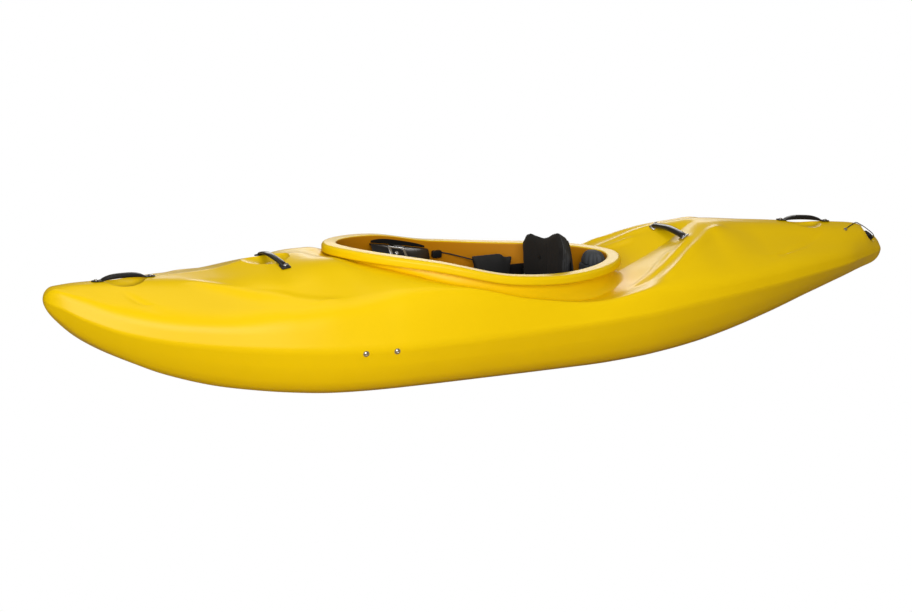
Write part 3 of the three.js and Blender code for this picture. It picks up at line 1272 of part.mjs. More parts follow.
// The top lies flat and straight under the clip, so that the brace can slide, and hooks down past it
const braceBackTop = rimTop(BRACE_FROM) - BRACE_DROP;
const braceFrontTop = rimTop(BRACE_TO) - BRACE_DROP;

function bracePlace(u, v, below) {
  const x = THREE.MathUtils.lerp(BRACE_FROM, BRACE_TO, u);
  const depth = BRACE_EDGE_DEPTH + BRACE_MIDDLE_DEPTH * Math.sin(Math.PI * u);
  const y = rimHalfBreadth(x) - WALL_STANDOFF - v * depth;
  const past = Math.max(0, v - clipShares.reach) / (1 - clipShares.reach);
  const top = THREE.MathUtils.lerp(braceBackTop, braceFrontTop, u);
  return { x, y, z: top - BRACE_HOOK * past ** 2 - below };
}

for (const [sideName, side] of Object.entries(sides)) {
  const sided = ({ x, y, z }) => mirrored(x, y, z, side);
  const bracePoint = (u, v, front) => sided(bracePlace(u, v, front ? 0 : BRACE_THICKNESS));
  const brace = slab(bracePoint, BRACE_COLUMNS, BRACE_ROWS);
  addPart(`thigh_brace_${sideName}`, brace, blackPlastic);
  const pad = slab((u, v, front) => {
    const along = (1 + u * (BRACE_COLUMNS - 2)) / BRACE_COLUMNS;
    const top = BRACE_THICKNESS + FIT_GAP;
    const fullness = PAD_EDGE + (BRACE_PAD_THICKNESS - PAD_EDGE) * crown(u, v);
    return sided(bracePlace(along, v, front ? top : top + fullness));
  }, BRACE_COLUMNS - 2, BRACE_ROWS);
  addPart(`thigh_pad_${sideName}`, pad, blackFoam);
  const lying = slab((u, v, front) => {
    const along = THREE.MathUtils.lerp(clipShares.from, clipShares.to, u);
    return sided(bracePlace(along, v * clipShares.reach, front ? -FIT_GAP - CLIP_THICKNESS : -FIT_GAP));
  }, 3, 3);
  const standing = slab((u, v, front) => {
    const along = THREE.MathUtils.lerp(clipShares.from, clipShares.to, u);
    const foot = bracePlace(along, 0, -FIT_GAP - CLIP_THICKNESS / 2);
    const top = rimTop(foot.x) - CLIP_TOP_DROP;
    const y = foot.y + WALL_STANDOFF - CLIP_STANDOFF - (front ? 0 : CLIP_THICKNESS);
    return sided({ x: foot.x, y, z: THREE.MathUtils.lerp(foot.z, top, v) });
  }, 3, 1);
  const clip = toSolid(lying).add(toSolid(standing));
  addPart(`brace_clip_${sideName}`, toGeometry(clip), steel);
}

// Drain plug: a screwed bush in the recess floor, and the plug with its gasket and swivel ring
const BUSH_BORE = 9;
const BUSH_FLANGE = 19;
const BUSH_FLANGE_THICKNESS = 2;
const BUSH_DEPTH = 9;
const GASKET_RADIUS = 15;
const GASKET_THICKNESS = 1.6;
const SWIVEL_RADIUS = 15.5;
const SWIVEL_THICKNESS = 2.5;
const SWIVEL_TAB_REACH = 18.5;
const SWIVEL_TAB_WIDTH = 9;
const PLUG_STEM_RADIUS = 8.5;
const PLUG_STEM_DEPTH = 14;
const PLUG_CAP_RADIUS = 15.5;
const PLUG_CAP_HEIGHT = 9.5;
const PLUG_SCALLOPS = 10;
const PLUG_SCALLOP_DEPTH = 0.9;
const PLUG_SLOT_WIDTH = 3;
const PLUG_SLOT_DEPTH = 3;

function annulus(innerRadius, outerRadius, bottom, top, sidesRound) {
  return turnedPiece([
    [innerRadius, bottom],
    [outerRadius, bottom],
    [outerRadius, top],
    [innerRadius, top],
    [innerRadius, bottom],
  ], sidesRound);
}

const drainStand = new THREE.Group();
drainStand.position.copy(alongDrain(-DRAIN_RECESS_DEPTH));
drainStand.quaternion.copy(drainTurn);
kayak.add(drainStand);

const bushTop = FIT_GAP + BUSH_FLANGE_THICKNESS;
const sleeveRadius = DRAIN_HOLE_RADIUS - FIT_GAP;
const bush = turnedPiece([
  [BUSH_BORE, -BUSH_DEPTH],
  [sleeveRadius, -BUSH_DEPTH],
  [sleeveRadius, FIT_GAP],
  [BUSH_FLANGE, FIT_GAP],
  [BUSH_FLANGE, bushTop],
  [BUSH_BORE, bushTop],
  [BUSH_BORE, -BUSH_DEPTH],
], DRAIN_SIDES);
addPart('drain_bush', bush, blackPlastic, drainStand);

const gasketFrom = bushTop + FIT_GAP;
const gasketTo = gasketFrom + GASKET_THICKNESS;
const gasket = annulus(BUSH_BORE, GASKET_RADIUS, gasketFrom, gasketTo, DRAIN_SIDES);
addPart('drain_gasket', gasket, blackFoam, drainStand);

const swivelFrom = gasketTo + FIT_GAP;
const swivelTo = swivelFrom + SWIVEL_THICKNESS;
let swivel = toSolid(annulus(BUSH_BORE, SWIVEL_RADIUS, swivelFrom, swivelTo, DRAIN_SIDES));
swivel = swivel.add(toSolid(box(
  new THREE.Vector3(-SWIVEL_TAB_REACH, -SWIVEL_TAB_WIDTH / 2, swivelFrom),
  new THREE.Vector3(-(BUSH_BORE + SWIVEL_RADIUS) / 2, SWIVEL_TAB_WIDTH / 2, swivelTo),
)));
addPart('drain_swivel_ring', toGeometry(swivel), blackPlastic, drainStand);

const capFrom = swivelTo + FIT_GAP;
const capTo = capFrom + PLUG_CAP_HEIGHT;
const capOutline = [];
for (let i = 0; i < 4 * PLUG_SCALLOPS; i += 1) {
  const angle = (2 * Math.PI * i) / (4 * PLUG_SCALLOPS);
  const radius = PLUG_CAP_RADIUS + PLUG_SCALLOP_DEPTH * Math.cos(PLUG_SCALLOPS * angle);
  capOutline.push(new THREE.Vector2(radius * Math.cos(angle), radius * Math.sin(angle)));
}
const stem = turnedPiece([
  [0, -PLUG_STEM_DEPTH],
  [PLUG_STEM_RADIUS, -PLUG_STEM_DEPTH],
  [PLUG_STEM_RADIUS, capTo - PLUG_SLOT_DEPTH],
  [0, capTo - PLUG_SLOT_DEPTH],
], DRAIN_SIDES);
const slot = box(
  new THREE.Vector3(-PLUG_CAP_RADIUS * 0.7, -PLUG_SLOT_WIDTH / 2, capTo - PLUG_SLOT_DEPTH),
  new THREE.Vector3(PLUG_CAP_RADIUS * 0.7, PLUG_SLOT_WIDTH / 2, capTo + PLUG_SLOT_DEPTH),
);
const plug = upright(capOutline, capFrom, capTo).add(toSolid(stem)).subtract(toSolid(slot));
addPart('drain_plug', toGeometry(plug), blackPlastic, drainStand);

// Leash of the drain plug: from a screw on the deck, round the plug and down to its swivel ring
const ANCHOR_WASHER = 11;
const anchorScrew = turnedPiece([
  [0, -ANCHOR_DEPTH],
  [BOLT_DIAMETER / 2, -ANCHOR_DEPTH],
  [BOLT_DIAMETER / 2, BOLT_CLEARANCE],
  [ANCHOR_WASHER / 2, BOLT_CLEARANCE],
  [ANCHOR_WASHER / 2, BOLT_CLEARANCE + BOLT_HEAD_HEIGHT],
  [0, BOLT_CLEARANCE + BOLT_HEAD_HEIGHT * 1.4],
], BOLT_SIDES);
const anchor = addPart('leash_anchor_screw', anchorScrew, steel);
anchor.position.copy(anchorPlace);
anchor.quaternion.copy(anchorTurn);

const LEASH_DIAMETER = 2.8;
const LEASH_STEPS = 22;
const LEASH_SPREAD = 100;
const leashShares = [
  [1.001, 0.248, 0.319],
  [0.94, 0.21, 0.312],
  [0.8, 0.11, 0.336],
  [0.64, 0, 0.353],
  [0.48, -0.11, 0.363],
  [0.34, -0.2, 0.361],
  [0.21, -0.255, 0.302],
  [0.08, -0.28, 0.232],
  [-0.04, -0.27, 0.152],
  [-0.15, -0.23, 0.062],
  [-0.22, -0.15, -0.018],
  [-0.23, -0.07, -0.078],
  [-0.19, -0.015, -0.123],
  [-0.138, 0, -0.148],
  [-0.104, 0, -0.184],
  [-0.077, 0, -0.211],
];
const leashRoute = leashShares.map((share) => (
  new THREE.Vector3(...share).multiplyScalar(LEASH_SPREAD).add(drainPlace)
));
const leashSection = new THREE.Shape().absarc(0, 0, LEASH_DIAMETER / 2, 0, 2 * Math.PI);
const leash = new THREE.ExtrudeGeometry(leashSection, {
  steps: LEASH_STEPS,
  extrudePath: new THREE.CatmullRomCurve3(leashRoute),
  curveSegments: 4,
});
addPart('drain_leash', leash, webbing);

export default kayak;
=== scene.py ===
# Whitewater kayak: a one-piece moulded river boat with its outfitting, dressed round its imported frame.
# Metres. +X runs to the bow, +Y to port and +Z up, as in the frame.
import math

import bmesh
import bpy
import numpy as np
from mathutils import Matrix, Vector
from mathutils.bvhtree import BVHTree


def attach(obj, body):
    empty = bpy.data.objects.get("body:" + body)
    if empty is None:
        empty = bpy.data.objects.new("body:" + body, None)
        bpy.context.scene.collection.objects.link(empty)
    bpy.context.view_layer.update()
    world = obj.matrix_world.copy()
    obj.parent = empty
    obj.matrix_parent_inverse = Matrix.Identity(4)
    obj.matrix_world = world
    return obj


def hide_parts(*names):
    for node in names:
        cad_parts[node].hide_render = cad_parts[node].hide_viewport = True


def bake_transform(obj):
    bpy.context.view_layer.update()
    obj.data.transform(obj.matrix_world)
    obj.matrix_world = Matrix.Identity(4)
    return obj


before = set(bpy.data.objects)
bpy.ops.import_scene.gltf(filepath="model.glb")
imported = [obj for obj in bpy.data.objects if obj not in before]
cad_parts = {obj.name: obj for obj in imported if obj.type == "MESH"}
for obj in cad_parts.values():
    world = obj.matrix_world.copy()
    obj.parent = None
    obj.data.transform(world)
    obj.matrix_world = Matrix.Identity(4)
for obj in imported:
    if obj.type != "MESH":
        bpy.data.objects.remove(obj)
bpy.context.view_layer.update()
bpy.ops.object.select_all(action="DESELECT")

# Camera
# It looks from the port bow quarter, a little above the deck, as the photograph does.
VIEW_OFF_BEAM = math.radians(26)
VIEW_DOWN = math.radians(13)
VIEW_DISTANCE = 10.0
VIEW_TARGET = Vector((0.09998, 0, 0.168026))
IMAGE_WIDTH = 912
FOCAL_PIXELS = 3395.56

towards_camera = Vector((
    math.cos(VIEW_DOWN) * math.sin(VIEW_OFF_BEAM),
    math.cos(VIEW_DOWN) * math.cos(VIEW_OFF_BEAM),
    math.sin(VIEW_DOWN),
))
bpy.ops.object.camera_add(location=VIEW_TARGET + VIEW_DISTANCE * towards_camera)
camera = bpy.context.object
camera.name = "camera"
camera.rotation_euler = (-towards_camera).to_track_quat("-Z", "Y").to_euler()
camera.data.sensor_fit = "HORIZONTAL"
camera.data.lens = camera.data.sensor_width * FOCAL_PIXELS / IMAGE_WIDTH
bpy.context.scene.camera = camera
bpy.context.scene.view_settings.view_transform = "Standard"


# Floor and light
# A plain floor and sky that show pure white, with a warm fill from all round. A large lamp stands off the
# port bow, one hangs over the deck, and one beyond the starboard side only shines in the gloss of the deck.
FLOOR_SIZE = 60
FLOOR_DROP = 0.0006
FILL_LEVEL = 0.24


def set_inputs(node, values):
    """Sets inputs of a shader node, given by name."""
    for socket, value in values.items():
        node.inputs[socket].default_value = value


def add_node(tree, kind, values={}):
    """A new shader node with inputs set."""
    node = tree.nodes.new("ShaderNode" + kind)
    set_inputs(node, values)
    return node


def add_tone(tree, colour, other_colour):
    """A node that mixes two colours."""
    tone = tree.nodes.new("ShaderNodeMix")
    tone.data_type = "RGBA"
    set_inputs(tone, {"A": (*colour, 1), "B": (*other_colour, 1)})
    return tone


def wire(tree, *wires):
    """Links shader nodes, each wire given as (from node, output, to node, input)."""
    for source, output, target, socket in wires:
        tree.links.new(source.outputs[output], target.inputs[socket])


def new_material(name, values):
    """A material, its node tree and its shader, with inputs of the shader set."""
    material = bpy.data.materials.new(name)
    material.use_nodes = True
    shader = material.node_tree.nodes["Principled BSDF"]
    set_inputs(shader, values)
    return material, material.node_tree, shader


bpy.ops.mesh.primitive_plane_add(size=FLOOR_SIZE, location=(0, 0, -FLOOR_DROP))
floor = bpy.context.object
floor.name = "floor"
floor_finish, tree, shader = new_material("pale_floor", {
    "Base Color": (0.46, 0.38, 0.24, 1), "Roughness": 0.9, "Specular IOR Level": 0.1})
white = add_node(tree, "Emission", {"Color": (1, 1, 1, 1), "Strength": 1})
seen = add_node(tree, "LightPath")
mix = add_node(tree, "MixShader")
wire(tree, (seen, "Is Camera Ray", mix, "Fac"), (shader, "BSDF", mix, 1), (white, "Emission", mix, 2),
     (mix, "Shader", tree.nodes["Material Output"], "Surface"))
floor.data.materials.append(floor_finish)

world = bpy.data.worlds.new("pale_sky")
bpy.context.scene.world = world
world.use_nodes = True
tree = world.node_tree
background = tree.nodes["Background"]
seen = add_node(tree, "LightPath")
level = add_node(tree, "MapRange", {"To Min": FILL_LEVEL, "To Max": 1})
tint = add_tone(tree, (1, 0.82, 0.56), (1, 1, 1))
wire(tree, (seen, "Is Camera Ray", tint, "Factor"), (tint, "Result", background, "Color"),
     (seen, "Is Camera Ray", level, "Value"), (level, "Result", background, "Strength"))


def add_softbox(name, place, aim, size, power):
    """A soft rectangular lamp at a place, aimed at a point."""
    bpy.ops.object.light_add(type="AREA", location=place)
    lamp = bpy.context.object
    lamp.name = name
    lamp.data.shape = "RECTANGLE"
    lamp.data.size, lamp.data.size_y = size
    lamp.data.energy = power
    lamp.rotation_euler = (Vector(place) - Vector(aim)).to_track_quat("Z", "Y").to_euler()
    return lamp


add_softbox("overhead_softbox", (0.4, 0.2, 3.6), (0, 0, 0.2), (5.0, 1.6), 40)
add_softbox("port_softbox", (2.5, 4.9, 1.9), (0.1, 0, 0.2), (4.0, 2.4), 238)
gloss_softbox = add_softbox("gloss_softbox", (-2.5, -5.1, 2.0), (-0.2, 0, 0.25), (3.0, 1.4), 58)
gloss_softbox.visible_diffuse = False

# Drain leash
# A thin braided cord that keeps the plug with the boat, from a deck screw down to the plug's swivel ring.
LEASH_DIAMETER = 0.0028
leash_route = [
    (-1.2179, 0.0468, 0.2912), (-1.224, 0.043, 0.2905), (-1.238, 0.033, 0.2929), (-1.254, 0.022, 0.2946),
    (-1.270, 0.011, 0.2956), (-1.284, 0.002, 0.2954), (-1.297, -0.0035, 0.2895), (-1.310, -0.006, 0.2825),
    (-1.322, -0.005, 0.2745), (-1.333, -0.001, 0.2655), (-1.340, 0.007, 0.2575), (-1.341, 0.015, 0.2515),
    (-1.337, 0.0205, 0.247), (-1.3318, 0.022, 0.2445), (-1.3284, 0.022, 0.2409), (-1.3257, 0.022, 0.2382),
]


def smooth_path(route, between=6):
    """Points of a smooth curve through the route."""
    ends = [Vector(p) for p in route]
    ends = [2 * ends[0] - ends[1]] + ends + [2 * ends[-1] - ends[-2]]
    path = []
    for before, start, end, after in zip(ends, ends[1:], ends[2:], ends[3:]):
        for step in range(between):
            t = step / between
            path.append(0.5 * (2 * start + (end - before) * t
                               + (2 * before - 5 * start + 4 * end - after) * t * t
                               + (3 * start - before - 3 * end + after) * t ** 3))
    path.append(ends[-2])
    return path


def sweep(name, path, section, up=None):
    """A closed band that carries a section, as (across, up) pairs, along a path. Its UV map runs likewise."""
    mesh = bmesh.new()
    uv_layer = mesh.loops.layers.uv.new("UVMap")
    tangent = (path[1] - path[0]).normalized()
    normal = Vector(up) if up else tangent.orthogonal()
    girth = sum((Vector(a) - Vector(b)).length for a, b in zip(section, section[1:] + section[:1]))
    rings, runs, run = [], [], 0.0
    for i, centre in enumerate(path):
        tangent = (path[min(i + 1, len(path) - 1)] - path[max(i - 1, 0)]).normalized()
        normal = Vector(up) if up else normal
        normal = (normal - tangent * normal.dot(tangent)).normalized()
        across = tangent.cross(normal)
        run += (centre - path[i - 1]).length if i else 0.0
        runs.append(run)
        rings.append([mesh.verts.new(centre + across * a + normal * b) for a, b in section])
    count = len(section)
    for i in range(len(rings) - 1):
        for side in range(count):
            other = (side + 1) % count
            face = mesh.faces.new((rings[i][side], rings[i][other], rings[i + 1][other], rings[i + 1][side]))
            steps = ((side, i), (side + 1, i), (side + 1, i + 1), (side, i + 1))
            for loop, (round_step, along_step) in zip(face.loops, steps):
                loop[uv_layer].uv = (runs[along_step], girth * round_step / count)
    mesh.faces.new(rings[0])
    mesh.faces.new(list(reversed(rings[-1])))
    return finished(name, mesh)


def finished(name, mesh):
    """An object from an edited mesh, its faces turned outwards and shaded smooth."""
    bmesh.ops.recalc_face_normals(mesh, faces=mesh.faces)
    data = bpy.data.meshes.new(name)
    mesh.to_mesh(data)
    mesh.free()
    data.polygons.foreach_set("use_smooth", [True] * len(data.polygons))
    piece = bpy.data.objects.new(name, data)
    bpy.context.collection.objects.link(piece)
    return piece


def circle(radius, sides=12):
    """A round section."""
    angles = [2 * math.pi * side / sides for side in range(sides)]
    return [(radius * math.cos(angle), radius * math.sin(angle)) for angle in angles]


leash = sweep("plug_leash", smooth_path(leash_route), circle(LEASH_DIAMETER / 2, 10))
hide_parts("drain_leash")
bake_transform(leash)

# Hull shell
# One hollow moulding of yellow polyethylene: hull, deck, cockpit rim, hand dishes and drain recess in one.
# Its lines run through the same table of offsets as the frame, with the moulded ridges of the deck added.
HALF_LENGTH = 1.375
HALF_BEAM = 0.335
DEPTH = 0.4
HULL_WALL = 0.005
stations = [-1, -0.975, -0.93, -0.86, -0.76, -0.64, -0.52, -0.44, -0.36, -0.28, -0.16, 0,
            0.16, 0.28, 0.34, 0.39, 0.44, 0.52, 0.64, 0.76, 0.86, 0.93, 0.975, 1]
hull_table = [
    # keel, bilge, knuckle, shoulder, ridge, crest and top: shares of the half beam and of the depth
    ([0] * 24,
     [0.51, 0.41, 0.38, 0.337, 0.267, 0.172, 0.095, 0.056, 0.03, 0.012, 0, 0,
      0, 0, 0.001, 0.003, 0.009, 0.03, 0.085, 0.193, 0.345, 0.49, 0.63, 0.79]),
    ([0, 0.06, 0.13, 0.25, 0.38, 0.51, 0.63, 0.7, 0.755, 0.79, 0.815, 0.825,
      0.825, 0.815, 0.805, 0.785, 0.76, 0.69, 0.55, 0.385, 0.24, 0.14, 0.075, 0],
     [0.51, 0.425, 0.397, 0.355, 0.285, 0.189, 0.107, 0.064, 0.034, 0.013, 0, 0,
      0, 0, 0.002, 0.005, 0.012, 0.036, 0.097, 0.212, 0.368, 0.513, 0.652, 0.79]),
    ([0, 0.105, 0.225, 0.395, 0.553, 0.707, 0.83, 0.89, 0.937, 0.97, 0.994, 1,
      0.992, 0.975, 0.955, 0.932, 0.905, 0.848, 0.725, 0.562, 0.388, 0.248, 0.135, 0],
     [0.51, 0.505, 0.505, 0.5, 0.49, 0.472, 0.455, 0.442, 0.425, 0.405, 0.392, 0.378,
      0.37, 0.367, 0.368, 0.372, 0.378, 0.395, 0.43, 0.483, 0.56, 0.655, 0.74, 0.79]),
    ([0, 0.1, 0.215, 0.38, 0.535, 0.685, 0.805, 0.862, 0.9, 0.915, 0.925, 0.93,
      0.9, 0.865, 0.85, 0.842, 0.832, 0.79, 0.685, 0.53, 0.35, 0.205, 0.105, 0],
     [0.51, 0.54, 0.568, 0.59, 0.6, 0.6, 0.598, 0.595, 0.59, 0.57, 0.53, 0.605,
      0.725, 0.73, 0.705, 0.685, 0.668, 0.64, 0.632, 0.655, 0.7125, 0.795, 0.84, 0.79]),
    ([0, 0.07, 0.15, 0.24, 0.3, 0.36, 0.29, 0.51, 0.715, 0.85, 0.87, 0.875,
      0.83, 0.72, 0.65, 0.62, 0.63, 0.62, 0.43, 0.25, 0.19, 0.13, 0.07, 0],
     [0.51, 0.585, 0.672, 0.685, 0.7, 0.735, 0.845, 0.785, 0.675, 0.588, 0.535, 0.607,
      0.745, 0.8, 0.8, 0.785, 0.765, 0.75, 0.775, 0.83, 0.82, 0.845, 0.865, 0.79]),
    ([0, 0.035, 0.075, 0.12, 0.13, 0.13, 0.12, 0.29, 0.43, 0.58, 0.68, 0.78,
      0.71, 0.45, 0.36, 0.3, 0.36, 0.46, 0.33, 0.13, 0.1, 0.065, 0.035, 0],
     [0.51, 0.61, 0.715, 0.745, 0.79, 0.84, 0.885, 0.8, 0.66, 0.54, 0.505, 0.575,
      0.715, 0.845, 0.89, 0.94, 0.92, 0.848, 0.845, 0.872, 0.872, 0.878, 0.87, 0.79]),
    ([0] * 24,
     [0.51, 0.64, 0.735, 0.77, 0.808, 0.853, 0.885, 0.73, 0.605, 0.51, 0.49, 0.56,
      0.7, 0.85, 0.865, 0.9, 0.94, 0.947, 0.885, 0.876, 0.877, 0.88, 0.872, 0.79]),
]
corner_rounds = [(0, 0), (0.3, 0.6), (0.1, 0.13), (0.45, 0.45), (0.45, 0.45), (0.45, 0.45), (0, 0)]
CORNER_STEPS = [0, 4, 8, 8, 10, 10]
FLAT_STEPS = [4, 4, 5, 9, 11, 12]


def fair_line(positions, values, at):
    """Values along a smooth line through the positions that never overshoots them."""
    p, v = np.array(positions, float), np.array(values, float)
    span = np.diff(p)
    slope = np.diff(v) / span
    tangent = np.concatenate(([slope[0]], np.zeros(len(p) - 2), [slope[-1]]))
    for i in range(1, len(p) - 1):
        if slope[i - 1] * slope[i] > 0:
            first, second = 2 * span[i] + span[i - 1], span[i] + 2 * span[i - 1]
            tangent[i] = (first + second) / (first / slope[i - 1] + second / slope[i])
    at = np.clip(at, p[0], p[-1])
    i = np.clip(np.searchsorted(p, at, side="right") - 1, 0, len(span) - 1)
    t = (at - p[i]) / span[i]
    rest = 1 - t
    return (v[i] * (1 + 2 * t) * rest * rest + tangent[i] * span[i] * t * rest * rest
            + v[i + 1] * t * t * (3 - 2 * t) - tangent[i + 1] * span[i] * t * t * rest)


station_places = np.arcsin(stations) / (math.pi / 2)


def half_sections(places):
    """Half sections at places along the hull, as (y, z) from the keel to the middle of the deck."""
    corners = [np.stack([fair_line(station_places, breadths, places) * HALF_BEAM,
                         fair_line(station_places, heights, places) * DEPTH], axis=-1)
               for breadths, heights in hull_table]
    columns = [corners[0]]
    leaving = corners[0]
    for i in range(1, len(corners) - 1):
        round_in, round_out = corner_rounds[i]
        corner = corners[i]
        start = corner + (corners[i - 1] - corner) * round_in
        end = corner + (corners[i + 1] - corner) * round_out
        flats = FLAT_STEPS[i - 1]
        columns += [leaving + (start - leaving) * step / flats for step in range(1, flats)]
        for step in range(CORNER_STEPS[i] + 1):
            t = step / CORNER_STEPS[i]
            columns.append((1 - t) ** 2 * start + 2 * t * (1 - t) * corner + t * t * end)
        leaving = end
    flats = FLAT_STEPS[-1]
    columns += [leaving + (corners[-1] - leaving) * step / flats for step in range(1, flats)]
    columns.append(corners[-1])
    return np.stack(columns, axis=1)


def skin(places, inset):
    """Points of the skin at places along the hull, as rings up the port side and down to starboard."""
    half = half_sections(places)
    x = HALF_LENGTH * np.sin(places * math.pi / 2)
    port = np.concatenate([np.repeat(x[:, None, None], half.shape[1], axis=1), half], axis=-1)
    starboard = port[:, -2:0:-1] * [1, -1, 1]
    rings = np.concatenate([port, starboard], axis=1)
    if inset:
        along = np.gradient(rings, axis=0)
        round_it = np.roll(rings, -1, axis=1) - np.roll(rings, 1, axis=1)
        inward = np.cross(along, round_it)
        rings = rings + inset * inward / np.linalg.norm(inward, axis=-1, keepdims=True)
    return rings


def solid_from_rings(name, rings, tips=None, in_a_loop=False):
    """A closed object over rings of equal count. A point closes each end, unless the rings run in a loop."""
    rings = np.array(rings)
    rows, count = rings.shape[:2]
    points = rings.reshape(-1, 3).tolist()
    faces = []
    for i in range(rows if in_a_loop else rows - 1):
        here, following = i * count, (i + 1) % rows * count
        for j in range(count):
            other = (j + 1) % count
            faces.append((here + j, here + other, following + other, following + j))
    if not in_a_loop:
        points += [list(tip) for tip in tips or (rings[0].mean(axis=0), rings[-1].mean(axis=0))]
        last = (rows - 1) * count
        for j in range(count):
            other = (j + 1) % count
            faces += [(rows * count, other, j), (rows * count + 1, last + j, last + other)]
    data = bpy.data.meshes.new(name)
    data.from_pydata(points, [], faces)
    mesh = bmesh.new()
    mesh.from_mesh(data)
    bpy.data.meshes.remove(data)
    return finished(name, mesh)


# Ridges and creases of the deck, each a line of (x, y) on the port side with its height and breadth
LINE_FADE = 0.16
deck_lines = [
    ([(1.0, 0.05), (0.90, 0.115), (0.80, 0.175), (0.70, 0.22), (0.62, 0.247), (0.54, 0.268)], 0.005, 0.013),
    ([(1.18, 0.05), (1.11, 0.12), (1.02, 0.19), (0.91, 0.235), (0.84, 0.255)], -0.004, 0.009),
    ([(-0.66, 0.25), (-0.74, 0.235), (-0.86, 0.2), (-0.94, 0.16), (-1.03, 0.12), (-1.13, 0.06)],
     -0.0036, 0.0062),
    ([(-0.37, 0.2), (-0.41, 0.19), (-0.46, 0.17), (-0.51, 0.14), (-0.54, 0.12), (-0.565, 0.1)], 0.006, 0.012),
    ([(-0.41, 0.22), (-0.44, 0.2), (-0.49, 0.18), (-0.53, 0.16), (-0.57, 0.14), (-0.6, 0.12), (-0.65, 0.08)],
     0.006, 0.012),
    ([(-0.44, 0.27), (-0.48, 0.25), (-0.53, 0.22), (-0.59, 0.18), (-0.65, 0.14), (-0.7, 0.1), (-0.78, 0.06)],
     0.008, 0.014),
]


def deck_relief(points):
    """Height that the moulded lines add to points of the deck."""
    relief = np.zeros(points.shape[:-1])
    spot = np.stack([points[..., 0], np.abs(points[..., 1])], axis=-1)
    for line, height, breadth in deck_lines:
        line = np.array(line)
        lengths = np.linalg.norm(np.diff(line, axis=0), axis=1)
        total, run = lengths.sum(), 0.0
        nearest = np.full(relief.shape, np.inf)
        place = np.zeros(relief.shape)
        for start, end, length in zip(line[:-1], line[1:], lengths):
            t = np.clip(((spot - start) @ (end - start)) / length ** 2, 0, 1)
            distance = np.linalg.norm(spot - (start + t[..., None] * (end - start)), axis=-1)
            closer = distance < nearest
            nearest = np.where(closer, distance, nearest)
            place = np.where(closer, (run + t * length) / total, place)
            run += length
        fade = np.clip(np.minimum(place, 1 - place) / LINE_FADE, 0, 1)
        relief += height * np.exp(-(nearest / breadth) ** 2) * fade * fade * (3 - 2 * fade)
    return relief


RINGS_OUTSIDE, RINGS_INSIDE = 421, 121
INSIDE_REACH = 0.94
STERN_TIP, BOW_TIP = (-HALF_LENGTH, 0, 0.51 * DEPTH), (HALF_LENGTH, 0, 0.79 * DEPTH)
outer_rings = skin(np.linspace(-1, 1, RINGS_OUTSIDE)[1:-1], 0)
around = np.arange(outer_rings.shape[1])
deck_from = sum(FLAT_STEPS[:3]) + sum(CORNER_STEPS[:4]) - CORNER_STEPS[3] // 2
deck_share = np.clip((np.minimum(around, len(around) - around) - deck_from) / 6, 0, 1)
outer_rings[..., 2] += deck_relief(outer_rings) * deck_share
hull = solid_from_rings("hull", outer_rings, (STERN_TIP, BOW_TIP))
inner_rings = skin(np.linspace(-INSIDE_REACH, INSIDE_REACH, RINGS_INSIDE), HULL_WALL)
hull_inside = solid_from_rings("hull_inside", inner_rings)


def deck_height(x, y):
    """Height of the deck over a point, moulded lines included."""
    half = half_sections(np.array([math.asin(x / HALF_LENGTH) / (math.pi / 2)]))[0]
    top = half[deck_from:][::-1]
    z = float(np.interp(abs(y), top[:, 0], top[:, 1]))
    return z + float(deck_relief(np.array([[x, y, z]]))[0])


def deck_normal(x, y, step=0.012):
    """The direction square to the deck over a point."""
    return Vector((deck_height(x - step, y) - deck_height(x + step, y),
                   deck_height(x, y - step) - deck_height(x, y + step), 2 * step)).normalized()


# Cockpit rim: an egg-shaped opening, a wall that flares into the deck, and the thick lip for a spray skirt
RIM_LENGTH = 0.867
RIM_BREADTH = 0.512
RIM_MIDDLE_X = 0.0455
RIM_WIDTH = 0.043
RIM_THICKNESS = 0.027
RIM_WALL = 0.012
RIM_FULLNESS = 1.72
RIM_TAPER = -0.112
RIM_STEPS = 168
RIM_FLARE, REAR_FLARE = 0.016, 0.03
RIM_SUNK = 0.004


def rim_share(x):
    """Place along the rim: -1 at its rear end and 1 at its front end."""
    return np.clip((x - RIM_MIDDLE_X) / (RIM_LENGTH / 2), -1, 1)


def rim_top(x):
    return fair_line([-1, -0.5, 0, 0.5, 1], [0.72, 0.7295, 0.7775, 0.9, 0.98], rim_share(x)) * DEPTH


def rim_half_breadth(x):
    egg = (1 - np.abs(rim_share(x)) ** RIM_FULLNESS) ** (1 / RIM_FULLNESS)
    return RIM_BREADTH / 2 * egg * (1 + RIM_TAPER * rim_share(x))


def rim_outline():
    """Points round the opening and the outward direction at each."""
    angle = np.linspace(0, 2 * math.pi, RIM_STEPS, endpoint=False)
    x = RIM_MIDDLE_X + RIM_LENGTH / 2 * np.cos(angle)
    points = np.stack([x, rim_half_breadth(x) * np.sign(np.round(np.sin(angle), 9))], axis=-1)
    tangent = np.roll(points, -1, axis=0) - np.roll(points, 1, axis=0)
    outward = np.stack([tangent[:, 1], -tangent[:, 0]], axis=-1)
    return points, outward / np.linalg.norm(outward, axis=-1, keepdims=True)


rim_points, rim_outward = rim_outline()
